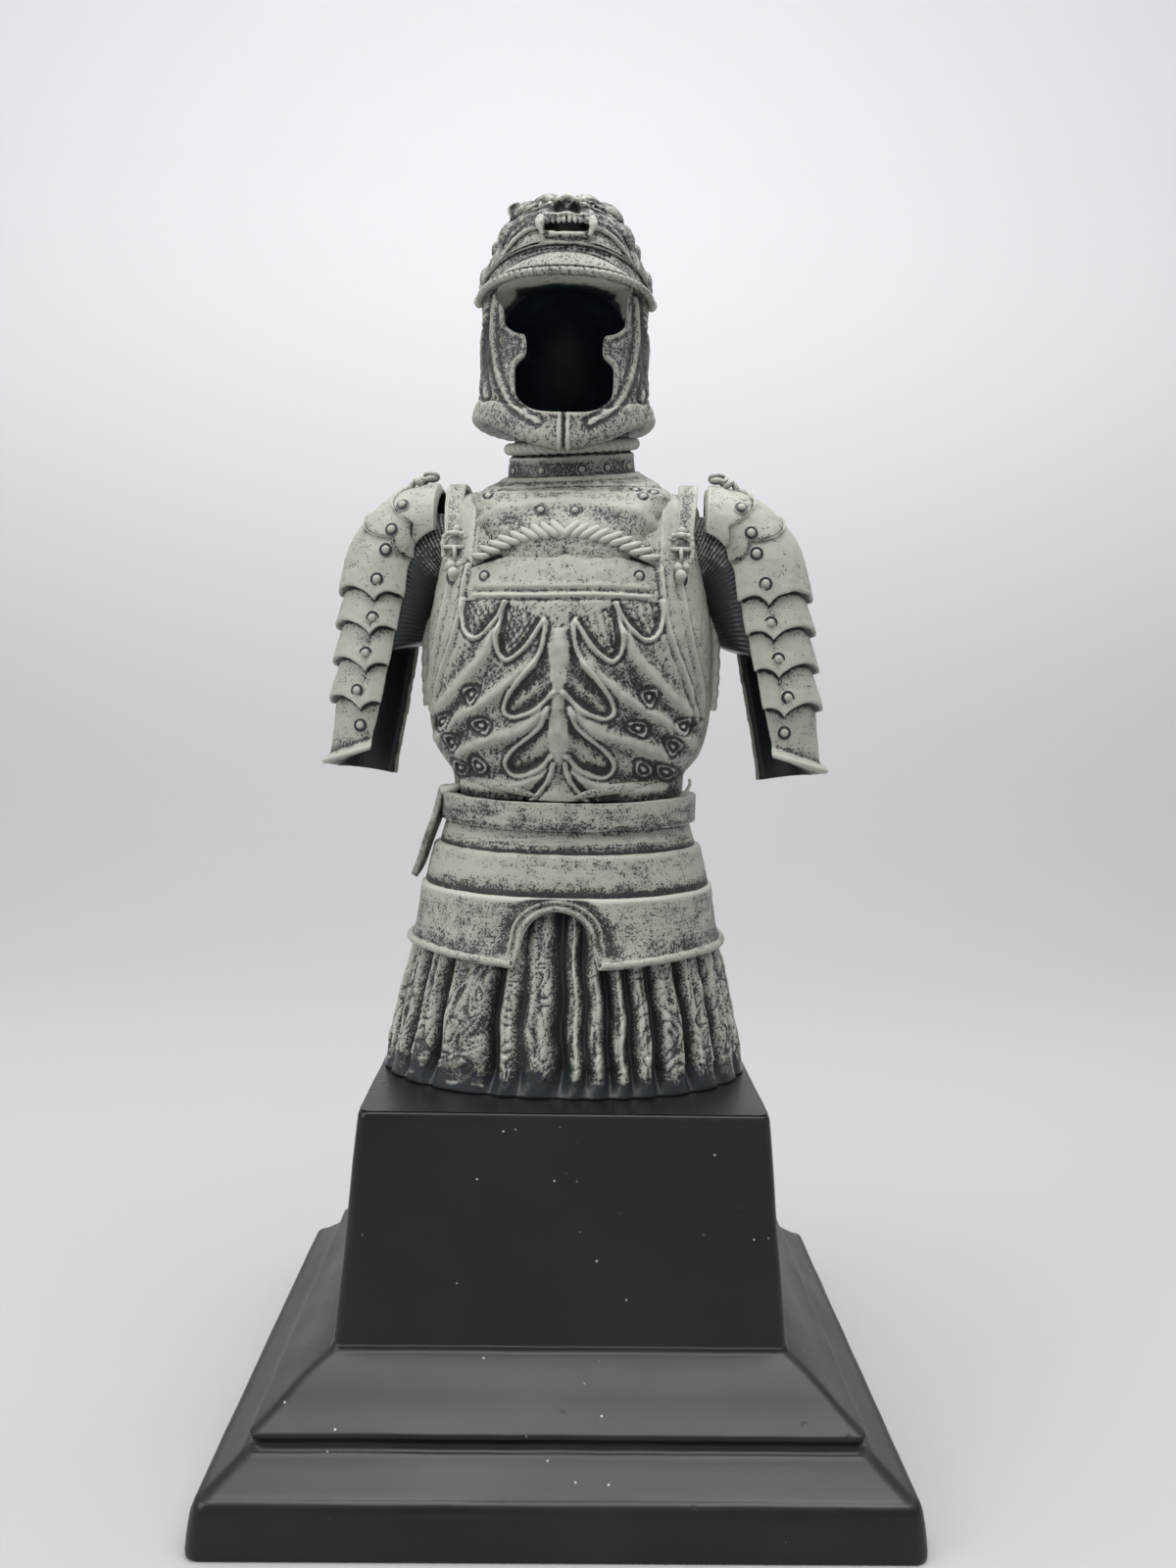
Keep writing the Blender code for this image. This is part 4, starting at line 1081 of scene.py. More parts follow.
def arm_rows():
    """Rows of the guard's outside: (along, share of the scallop, lift, share of the cuff's slant, wash)."""
    rows = [(0.0, 0.0, -2.4, 0, 0.2), (0.0, 0.0, -1.5, 0, 0), (0.3, 0.0, -1.1, 0, -0.3)]
    start, earlier = 0.5, 0.0
    for index, (stop, over) in enumerate(PLATES):
        scalloped = 1.0 if index > 1 else -0.8
        low = 0.0 if over > 0 else rows[-1][2]
        high = max(over, 0.9 + over)
        count = 28 if stop - start > 12 else 20
        for t in np.linspace(0, 1, count) ** 1.35:
            along = start + (stop - 0.35 - start) * t
            after = along - start
            before = stop - along
            wash = 0.15
            if index > 2:
                wash = 1.6 * math.exp(-((after / 0.5) ** 2)) + 0.75 * math.exp(-after / 1.6)
            if over < 0:
                wash += 0.8 * math.exp(-((before / 0.6) ** 2))
            else:
                wash -= 0.5 * math.exp(-((before / 0.8) ** 2))
            share = earlier + (scalloped - earlier) * t
            rows.append((along, share, low + (high - low) * t**0.8 if over > 0 else high, 0, wash))
        rows.append((stop - 0.14, scalloped, high - 0.08, 0, -0.5 if over > 0 else 0.8))
        rows.append((stop - 0.03, scalloped, high - 0.35, 0, 0.2))
        rows.append((stop, scalloped, 0.05 if over > 0 else high - over, 0, 1.6 if over > 0 else -0.3))
        start, earlier = stop + 0.2, scalloped
    for t in np.linspace(0, 1, 20):
        after = (ARM_END - 3.4 - start) * t
        wash = 1.5 * math.exp(-((after / 0.55) ** 2)) + 0.75 * math.exp(-after / 1.5) + 0.7 * t**4
        rows.append((start + after, 1 - t, 0.1, t**2, wash))
    lip = ((2.9, 0.2, 1.1), (2.4, 0.6, 0.5), (1.8, 1.15, 0), (1.2, 1.75, -0.3), (0.6, 2.0, -0.5),
        (0.15, 1.75, -0.3), (0, 1.1, 0), (0.1, 0.2, 0.6))
    return rows + [(ARM_END - back, 0, lift, 1, wash) for back, lift, wash in lip]


def arm_guard(side):
    """The overlapping plates of one arm as one bent shell, black inside."""
    outside, inside_columns, tuck = 110, 26, 4
    rows = arm_rows()
    grid, black, tone = [], [], []
    spread = np.linspace(0, 1, outside) ** 0.92
    for along, scalloped, lift, slant, wash in rows:
        lower = np.clip((along - 0.5 * ARM_LENGTH) / (0.75 * ARM_LENGTH), 0, 1)
        front = FRONT_EDGE + (CUFF_EDGE - FRONT_EDGE) * lower
        front += math.radians(20) * np.clip(1 - along / 9, 0, 1)
        turns = front + (BACK_EDGE - front) * spread
        inner_turns = front + (BACK_EDGE - front) * np.linspace(1, 0, inside_columns) * 0.99
        place = np.maximum(along - scalloped * scallop(turns) - slant * cuff_slant(turns), 0)
        even = np.clip((BACK_EDGE - turns) / 0.5, 0.15, 1)
        outer = arm_points(side, place, turns, lift * even)
        under = np.maximum(along - scalloped * scallop(inner_turns) - slant * cuff_slant(inner_turns), 0)
        inner = arm_points(side, under, inner_turns, -2.1)
        steps = np.linspace(0, 1, tuck + 2)[1:-1, None]
        back_tuck = outer[-1] + (inner[0] - outer[-1]) * steps
        front_tuck = inner[-1] + (outer[0] - inner[-1]) * steps
        grid.append(np.vstack((outer, back_tuck, inner, front_tuck)))
        edge = np.linspace(0.2, 1, tuck)
        black.append(np.concatenate((np.zeros(outside), edge, np.ones(inside_columns), edge[::-1])))
        near_edge = 0.5 * bump(turns - front, 0.06)
        shade = wash * np.clip(even * 1.4, 0, 1) - near_edge + 0.08
        tone.append(np.concatenate((shade, np.zeros(inside_columns + 2 * tuck))))
    grid, black, tone = np.array(grid), np.array(black), np.array(tone)
    relief = 0.12 * waves(grid, 5, 17 + side, 3)
    tone += 0.28 * waves(grid, 10, 27 + side, 2)
    relief[:, outside:] = 0
    ways = normals_of(grid)
    grid = grid + ways * relief[..., None] * (1 if side < 0 else -1)
    faces = quads(len(rows), grid.shape[1])
    last = (len(rows) - 1) * grid.shape[1]
    j = np.arange(outside - 1)
    across = (1 - np.arange(outside) / (outside - 1)) * (inside_columns - 1)
    opposite = outside + tuck + np.round(across).astype(int)
    closing = np.stack((last + j, last + j + 1, last + opposite[j + 1], last + opposite[j]), -1)
    points = turned(grid).reshape(-1, 3)
    if facing_out(points, faces) is not faces:
        same = closing[:, 2] == closing[:, 3]
        closing = np.where(same[:, None], closing[:, (1, 0, 2, 3)], closing[:, ::-1])
        faces = faces[:, ::-1]
    name = "arm_guard_right" if side > 0 else "arm_guard_left"
    marks = {"tone": tone.ravel(), "black": black.ravel()}
    piece(name, points, np.vstack((faces, closing)), PLATE, marks, passes=8, depth=0.3)


arm_guard(-1)
arm_guard(1)


def mail(side):
    """The mail sleeve under one arm guard, with rows of rings."""
    rows, columns = 150, 130
    table = flowing(SLEEVE, 10)
    where = np.linspace(0, len(table) - 1, rows)
    fine = np.stack([np.interp(where, np.arange(len(table)), table[:, k]) for k in range(5)], -1)
    turn = np.linspace(0, 2 * math.pi, columns, endpoint=False)[None, :]
    lean = np.radians(fine[:, 4:5])
    reach = fine[:, 2:3] * np.cos(turn)
    x = side * (SHOULDER_X + fine[:, 0:1] + reach * np.cos(lean))
    y = fine[:, 3:4] * np.sin(turn)
    h = SHOULDER_HEIGHT + fine[:, 1:2] + reach * np.sin(lean)
    grid = np.stack((x, y + 0 * x, h), -1)
    rings = np.abs(np.sin(np.arange(rows)[:, None] * 0.72)) * (0.7 + 0.3 * np.abs(np.sin(turn * 40)))
    n = normals_of(grid)
    grid = grid + n * (0.42 * rings - 0.2)[..., None] * (-side)
    black = np.clip((np.arange(rows)[:, None] / rows - 0.1) * 2, 0.25, 1) + 0 * turn
    name = "mail_sleeve_right" if side > 0 else "mail_sleeve_left"
    grid_piece(name, grid, MAIL, tone=1.0, black=black, tips=(None, 1), passes=4, depth=0.16)


mail(-1)
mail(1)


# Rivets, straps, buckles and small pieces


# (share of the size, share of the rise, black, wash) of the rings of a rivet, from its foot to its top
RIVET_ROWS = (
    (1.75, -0.9, 0, 1), (1.75, 0.0, 0.2, 1), (1.6, 0.1, 0.8, 1), (1.35, 0.1, 1, 1), (1.1, -0.05, 1, 1),
    (0.98, 0.15, 1, 1), (0.93, 0.5, 0, 0.3), (0.76, 0.82, 0, -0.4), (0.5, 0.97, 0, -0.4),
    (0.15, 1.02, 0, -0.4),
)


def rivet(store, centre, way, size, rise):
    """A domed rivet head with a thin ring round it."""
    way = np.array(way, float)
    way /= np.linalg.norm(way)
    side = np.cross(way, (0, 0, 1.0))
    side /= np.linalg.norm(side) + 1e-9
    up = np.cross(side, way)
    turn = np.linspace(0, 2 * math.pi, 20, endpoint=False)
    rows, black, tone = [], [], []
    for share, height, dark, wash in RIVET_ROWS:
        black.append(dark)
        tone.append(wash)
        ring = np.cos(turn)[:, None] * side + np.sin(turn)[:, None] * up
        rows.append(np.array(centre) + ring * size * share + way * rise * height)
    add_grid(store, np.array(rows), tone=np.array(tone)[:, None], black=np.array(black)[:, None])


def rivets():
    """Rivets of the arm guards, breast, gorget and collar."""
    store = gathered()
    for side in (-1, 1):
        rows = arm_rows()
        for along, turn in ARM_RIVETS:
            under = along + float(scallop(np.radians(turn))) * (along > PLATES[1][0])
            lift = np.interp(under, [r[0] for r in rows], [r[2] for r in rows])
            place = (side, np.array([along]), np.radians([turn]))
            at, above = (arm_points(*place, lift + rise)[0] for rise in (0.05, 2))
            rivet(store, at, above - at, 1.0, 0.9)
    for x, h in ((-18.3, 117.9), (17.1, 118.3)):
        rivet(store, (x, chest_y(x, h) - 0.05, h), (x / 60, -1, 0.1), 0.85, 0.8)
    for x, h in ((-5.7, 133.1), (2.1, 133.1)):
        sizes = profile(GORGET, np.array([h]))[0]
        y = -sizes[1] * (1 - (abs(x) / sizes[0]) ** 3.4) ** (1 / 3.4)
        rivet(store, (x, y - 0.1, h), (x / 40, -1, 0.4), 0.8, 0.75)
    for angle in (-58, -22, 12, 36, 64, 110, 150, -110, -150):
        turn = np.radians(angle)
        sizes = np.array((15.4, 14, 14))
        x, y = ovals(turn, sizes, 2.1)
        h = 146.7 + 0.2 * y + 0.05 * x
        rivet(store, (x + NECK_SHIFT, y, h), (x, y, 0), 0.75, 0.7)
    gathered_piece("rivets", store, PLATE, passes=3, depth=0.14)


rivets()


def slab(path, widths, thick, lean=None, sides=16):
    """A flat strap with rounded edges along a path; widths run along X."""
    path = np.array(path, float)
    ahead = np.gradient(path, axis=0)
    ahead /= np.linalg.norm(ahead, axis=1, keepdims=True)
    across = np.tile((1.0, 0, 0), (len(path), 1)) if lean is None else np.tile(lean, (len(path), 1))
    across -= (across * ahead).sum(1, keepdims=True) * ahead
    across /= np.linalg.norm(across, axis=1, keepdims=True)
    out = np.cross(across, ahead)
    turn = np.linspace(0, 2 * math.pi, sides, endpoint=False)
    c = np.sign(np.cos(turn)) * np.abs(np.cos(turn)) ** 0.4
    s = np.sign(np.sin(turn)) * np.abs(np.sin(turn)) ** 0.4
    widths = np.broadcast_to(widths, (len(path),))[:, None, None]
    return (
        path[:, None, :] + across[:, None, :] * (c[None, :, None] * widths)
        + out[:, None, :] * (s[None, :, None] * thick)
    )


def strap_x(h):
    """How far a strap's middle lies from the middle of the chest."""
    return 26.4 + 0.09 * (h - 122)


def straps():
    """The shoulder straps with their stitches, buckles and knobs."""
    store = gathered()
    for side in (-1, 1):
        stops = [(strap_x(140), 9, 139.8), (28, 3, 141.4), (28, -4, 141.2)]
        stops += [(strap_x(h), float(chest_y(27.0, h)) - 0.7, h) for h in (137.4, 134, 130, 125, 120)]
        path = flowing([(side * a, b, c) for a, b, c in stops], 8)
        slabs = slab(path, 2.3, 0.75)
        stitches = 1.0 + 0.5 * waves(slabs, 3, 91, 2)
        add_grid(store, slabs, tone=stitches)
        for shift in (-1.5, 1.5):
            line = path + np.array((shift, -0.78, 0))
            seam = tube(line, 0.24, 6, shape=lambda i, t: 0.75 + 0.35 * np.abs(np.sin(i * 0.9)))
            add_grid(store, seam, tone=-0.2)
        for k in range(2):
            h = 132.6 - 3.2 * k
            x = side * strap_x(h)
            rivet(store, (x, float(chest_y(27.0, h)) - 1.5, h), (0, -1, 0.35), 0.45, 0.35)
        cx, ch = side * 26.4, 125.2
        cy = float(chest_y(26.4, ch)) - 1.7
        frame_path = []
        for a in np.linspace(0, 2 * math.pi, 49):
            across, up = (np.sign(v) * abs(v) ** 0.55 for v in (np.cos(a), np.sin(a)))
            frame_path.append((cx + 2.7 * across, cy - 0.1, ch + 3.3 * up))
        add_grid(store, tube(frame_path, 0.55, 10, shape=lambda i, t: 1 + 0.22 * np.sin(i * 1.7)), tone=0.25)
        add_grid(store, ball((cx, cy + 0.6, ch), (2.4, 0.8, 2.9)), tone=1.2, black=0.5)
        bar = [(cx - 2.6, cy - 0.3, ch), (cx, cy - 0.7, ch), (cx + 2.6, cy - 0.3, ch)]
        add_grid(store, tube(bar, 0.5, 8), tone=-0.05)
        tongue = [(cx, cy - 0.9, ch + 0.4), (cx + 0.2, cy - 1.0, ch - 1.6), (cx + 0.1, cy - 0.5, ch - 3.5)]
        add_grid(store, tube(tongue, (0.5, 0.45, 0.25), 8))
        for dx, dh, r in ((0.2, 4.4, 1.1), (-0.6, -4.4, 1.2), (1.4, -4.2, 0.9), (0.1, -6.2, 1.4)):
            h = ch + dh
            add_grid(store, ball((cx + dx, float(chest_y(26.0, h)) - 0.9, h), (r, r * 0.9, r)), tone=0.05)
        h = 118.2
        rivet(store, (side * 26.2, float(chest_y(26.2, h)) - 0.1, h), (side * 0.4, -1, 0), 1.3, 1.1)
    gathered_piece("straps_and_buckles", store, CARVED, passes=5, depth=0.2)


straps()


def loose_pieces():
    """The flap at the belt, the sash over it, the small hook and the knots on the shoulders."""
    store = gathered()
    flap = flowing([(-29.6, -8, 68.2), (-31.2, -8, 62), (-33.6, -7.4, 55.5), (-35.4, -7, 50),
        (-37.2, -6.4, 46.4)], 8)
    widths = np.interp(np.linspace(0, 1, len(flap)), (0, 0.5, 0.9, 1), (3.2, 2.8, 2, 0.5))
    grid = slab(flap, widths, 0.8, lean=(0.15, 1, 0))
    add_grid(store, grid, tone=0.8, black=0.5)
    add_grid(store, ball((-28.8, -9.6, 67.6), (2.2, 2.6, 1.5), 0.4), tone=0.2)
    add_grid(store, ball((-27.4, -11.6, 68.2), (2.4, 1.8, 1.2), -0.3), tone=0.3)
    for line in (((-24, 70.8), (-18, 70.2), (-12, 69.2), (-6, 67.6)),
            ((3, 67.4), (9, 69), (16, 70), (24, 70.6))):
        curl = flowing([(x, float(chest_y(x, h)) - 0.6, h) for x, h in line], 8)
        taper = np.sqrt(np.clip(1 - np.linspace(-1, 1, len(curl)) ** 2, 0.03, 1))
        add_grid(store, tube(curl, 1.15 * taper, 12, flat=0.6), tone=1.1)
    hook = flowing([(27.8, -10, 67.4), (29, -10, 68.6), (29.8, -10, 70.4), (29.6, -10, 71.6)], 6)
    add_grid(store, tube(hook, np.linspace(0.55, 0.3, len(hook)), 8), tone=0.2)
    for side in (-1, 1):
        for k in range(5):
            a = k / 4
            centre = (side * (34.6 + 6.4 * a), -3 + 1.2 * math.sin(k * 2.1), 143.4 - 2.6 * a**1.4)
            turn = side * (0.6 * a + 0.9 * math.sin(k * 2.4))
            add_grid(store, ball(centre, (1.5, 1.1, 0.8), turn), tone=0.95)
        loop = []
        for a in np.linspace(0, 2 * math.pi, 29):
            across = side * (35.2 + 2 * math.cos(a))
            loop.append((across, -2 + 0.8 * math.sin(2 * a), 144 + 0.9 * math.sin(a)))
        add_grid(store, tube(loop, 0.5, 8), tone=0.95)
    gathered_piece("knots_flap_and_hook", store, CARVED, passes=4, depth=0.2)


loose_pieces()


# Helmet


HOLLOW_CENTRE, HOLLOW_SIZE = (0, -1.5, 171.4), (16.8, 17.0, 18.6)
OPENING = np.array(list(FACE_OPENING) + [(-a, b) for a, b in reversed(FACE_OPENING)])
OPENING = np.vstack((OPENING, OPENING[:1]))
LIP = ((16.6, 184), (17.4, 178), (16.6, 170), (15.2, 164), (13.4, 159.6), (10.8, 156.6), (6, 153.4))
CHEEK_FOLDS = (((19.2, 181), (19.8, 174), (19.4, 167), (18.4, 161)), ((20.2, 178), (20.4, 170), (20, 164)))


def hollow_share(places):
    """Below 1 inside the helmet's hollow, at places in metres."""
    local = places / MM - (HELMET_SHIFT, 0, FOOT)
    return (((local - HOLLOW_CENTRE) / HOLLOW_SIZE) ** 2).sum(-1)


def helmet_relief(angles, x, h):
    """Height and darkness of the carving on the helmet's shell."""
    rise = np.zeros(x.shape)
    tone = np.zeros(x.shape)
    front = np.cos(angles) > -0.1
    d = distance(x, h, OPENING, 8)
    rise += (bump(d - 0.45, 0.4, 0.2) - bump(d - 1.3, 0.4, 0.2)) * front
    tone += 0.45 + 0.5 * front * np.clip((d - 1.0) / 0.6, 0, 1) * (d < 9) + 0.35 * bump(d - 0.4, 0.45) * front
    for half in both_sides(LIP, 0):
        d = distance(x, h, half, 8)
        rise += (bump(d, 0.5, 0.2) - bump(d - 1.1, 0.5, 0.3)) * front
        tone += (bump(d - 1.3, 0.6, 0.5) - bump(d, 0.6, 0.35)) * front
    for line in CHEEK_FOLDS:
        for half in both_sides(line, 0):
            d = distance(x, h, half, 6)
            rise += (bump(d, 0.4, 0.5) - bump(d - 1.0, 0.4, 0.35)) * front
            tone += bump(d - 1.0, 0.5, 0.6) * front
    mouth_hole = np.clip((5.4 - np.abs(x)) / 0.5, 0, 1) * np.clip((h - 196.2) / 0.4, 0, 1)
    mouth_hole = mouth_hole * np.clip((199.9 - h) / 0.4, 0, 1) * front
    rise -= 1.1 * mouth_hole
    tone += 2.0 * mouth_hole + 0.5 * (h > 196)
    slit = np.abs(x)
    rise -= bump(slit, 0.42, 1.1) * (h < 155.6) * front
    rise += bump(slit - 1.0, 0.4, 0.3) * (h < 155.6) * front
    return rise, tone


def helmet():
    """The helmet's shell, hollow inside and open at the face."""
    columns = 280
    angles = bunched(columns, 0.3)
    rows = []
    dips = 9.2 * np.clip(np.cos(angles), 0, None) ** 2.4
    lower = ((0, 16, 17.6, 19), (0.1, 18, 19.4, 21.8), (0.0, 20.3, 21.4, 24.1), (0.25, 21.5, 22.5, 25.4),
        (1.1, 22.3, 23.3, 26.3), (2.6, 22.1, 23.3, 25.9), (4.4, 21.5, 22.9, 24.9), (4.9, 20.9, 22.3, 24.4))
    for lift, half, front, back in flowing(lower, 4):
        x, y = ovals(angles, np.tile((half, front, back), (columns, 1)), 2.1)
        rows.append(np.stack((x, y, 156.5 + lift * (1 + dips / 12) - dips), -1))
    base = rows[-1][:, 2]
    for share in np.linspace(0, 1, 34)[1:]:
        height = base + (167 - base) * share
        sizes = profile(((150, 21, 22.5, 24.6),) + HELMET, height)
        x, y = ovals(angles, sizes, 2.1)
        rows.append(np.stack((x, y, height), -1))
    for height in np.linspace(167, 208.2, 115)[1:]:
        sizes = profile(HELMET, np.full(columns, height))
        x, y = ovals(angles, sizes, 2.1)
        rows.append(np.stack((x, y, np.full(columns, height)), -1))
    grid = np.array(rows)
    rise, tone = helmet_relief(angles[None, :], grid[..., 0], grid[..., 2])
    crown = np.clip((grid[..., 2] - 186) / 6, 0, 1)
    ribs = 0.35 * waves(grid * (1, 1, 0.4), 5, 22, 3) * crown
    grid = raised(grid, rise + ribs + 0.12 * waves(grid, 3.5, 23, 3))
    made = grid_piece("helmet_shell", grid, CARVED, on_head, tone, tips=(0, None), passes=8, depth=0.2)
    made.data.materials.append(INSIDE)
    hollow = grid_piece("hollow_cutter", ball(HOLLOW_CENTRE, HOLLOW_SIZE, 0, 64, 48), INSIDE, on_head)
    outline = flowing(OPENING, 4)[:-1]
    rings = []
    for share, y in ((1.04, -40.0), (0.95, -6.0)):
        height = 171 + (outline[:, 1] - 171) * share
        rings.append(np.stack((outline[:, 0] * share, np.full(len(outline), y), height), -1))
    opening = grid_piece("opening_cutter", np.array(rings), INSIDE, on_head)
    for cutter in (hollow, opening):
        shape = bmesh.new()
        shape.from_mesh(cutter.data)
        bmesh.ops.recalc_face_normals(shape, faces=shape.faces)
        if shape.calc_volume(signed=True) < 0:
            bmesh.ops.reverse_faces(shape, faces=shape.faces)
        shape.to_mesh(cutter.data)
        shape.free()
        step = made.modifiers.new("cut", "BOOLEAN")
        step.operation = "DIFFERENCE"
        step.solver = "MANIFOLD"
        step.object = cutter
    mesh = applied(made)
    for cutter in (hollow, opening):
        bpy.data.objects.remove(cutter)
    write_marks(mesh, black=(hollow_share(values_of(mesh.vertices, "co")) < 1.03).astype(float))
    cut = hollow_share(values_of(mesh.polygons, "center")) < 1.02
    mesh.polygons.foreach_set("material_index", cut.astype(np.int32))
    mesh.update()


helmet()


def visor():
    """The peak over the face: a roped rim, a smooth crescent, a dark groove and two beads above it."""
    steps = 300
    degrees = np.linspace(-80, 80, steps)
    angle = np.radians(degrees)
    reach = np.clip(np.cos(angle * 1.05), 0, None)
    edge = 184.2 + 1.8 * reach
    out = 20.9 + 4.1 * reach**1.5
    top = 195.2 - 9.0 * (np.abs(degrees) / 78) ** 1.9
    rows, tone = [], []
    for inward, lift in ((4.6, 4.6), (3.0, 2.4), (1.4, 0.9), (0.3, 0.3)):
        rows.append((out - inward, edge + lift))
        tone.append(np.full(steps, 0.8))
    crescent = np.clip(0.6 * (1 - (degrees / 52) ** 2), 0, None)
    rough = np.random.default_rng(3).normal(size=(70, steps))
    for k, v in enumerate(np.linspace(0, 1, 66)):
        line = bump(v - crescent, 0.035) * (np.abs(degrees) < 50)
        notch = bump(v - 0.68, 0.035) * (np.abs(degrees) < 28) * (0.7 + 0.3 * np.sin(degrees * 1.7))
        beads = bump(v - 0.83, 0.03) + bump(v - 0.94, 0.028)
        grooves = bump(v - 0.885, 0.022) + bump(v - 0.12, 0.03) + bump(v - 0.775, 0.022)
        above = np.clip((v - crescent) / 0.05, 0, 1)
        rise = (
            0.5 * beads - 0.35 * grooves - 0.5 * line - 0.6 * notch - 0.25 * above * (v < 0.76)
            + 0.04 * rough[k] * above
        )
        rise = rise + 0.5 * np.sin(math.pi * np.clip(v / np.maximum(crescent, 0.05), 0, 1)) * (v < crescent)
        share = v**0.85
        rows.append((out + (20.6 - out) * share + rise, edge + 0.6 + (top - edge - 0.6) * v))
        tone.append(0.9 * line + 1.3 * notch + 1.0 * grooves + 0.55 * above - 0.7 * beads * (v > 0.7) + 0.45)
    # The top edge tucks in against the shell; its dark tone of 1.2 is painted shadow in that crease.
    for inward, lift in ((0.9, 0.25), (2.2, 0.1), (3.4, -1.2)):
        rows.append((20.6 - inward + 0 * out, top + lift))
        tone.append(np.full(steps, 1.2))
    grid = []
    for radius, height in rows:
        x, y = ovals(angle, np.stack((radius, radius, radius), -1), 2.1)
        grid.append(np.stack((x, y, height), -1))
    grid = np.array(grid)
    store = gathered()
    add_grid(store, grid.transpose(1, 0, 2), on_head, tone=np.array(tone).T)
    rim = np.stack((*ovals(angle, np.stack((out, out, out), -1), 2.1), edge + 0.5), -1)
    add_grid(store, tube(rim, 0.78, 14, shape=twisted(0.86, 0.25, 0.42)), on_head, tone=0.85)
    for side in (0, -1):
        add_grid(store, ball(rim[side] + (0, 0, 0.2), (1.3, 1.5, 1.5), 0, 16, 12), on_head, tone=0.5)
    gathered_piece("peak", store, CARVED, passes=7, depth=0.3)


visor()


def shell_y(x, h):
    """Y of the helmet's plain front."""
    half, front = profile(HELMET, np.array([h]))[0][:2]
    return -front * (1 - min(abs(x) / half, 0.98) ** 2.1) ** (1 / 2.1)


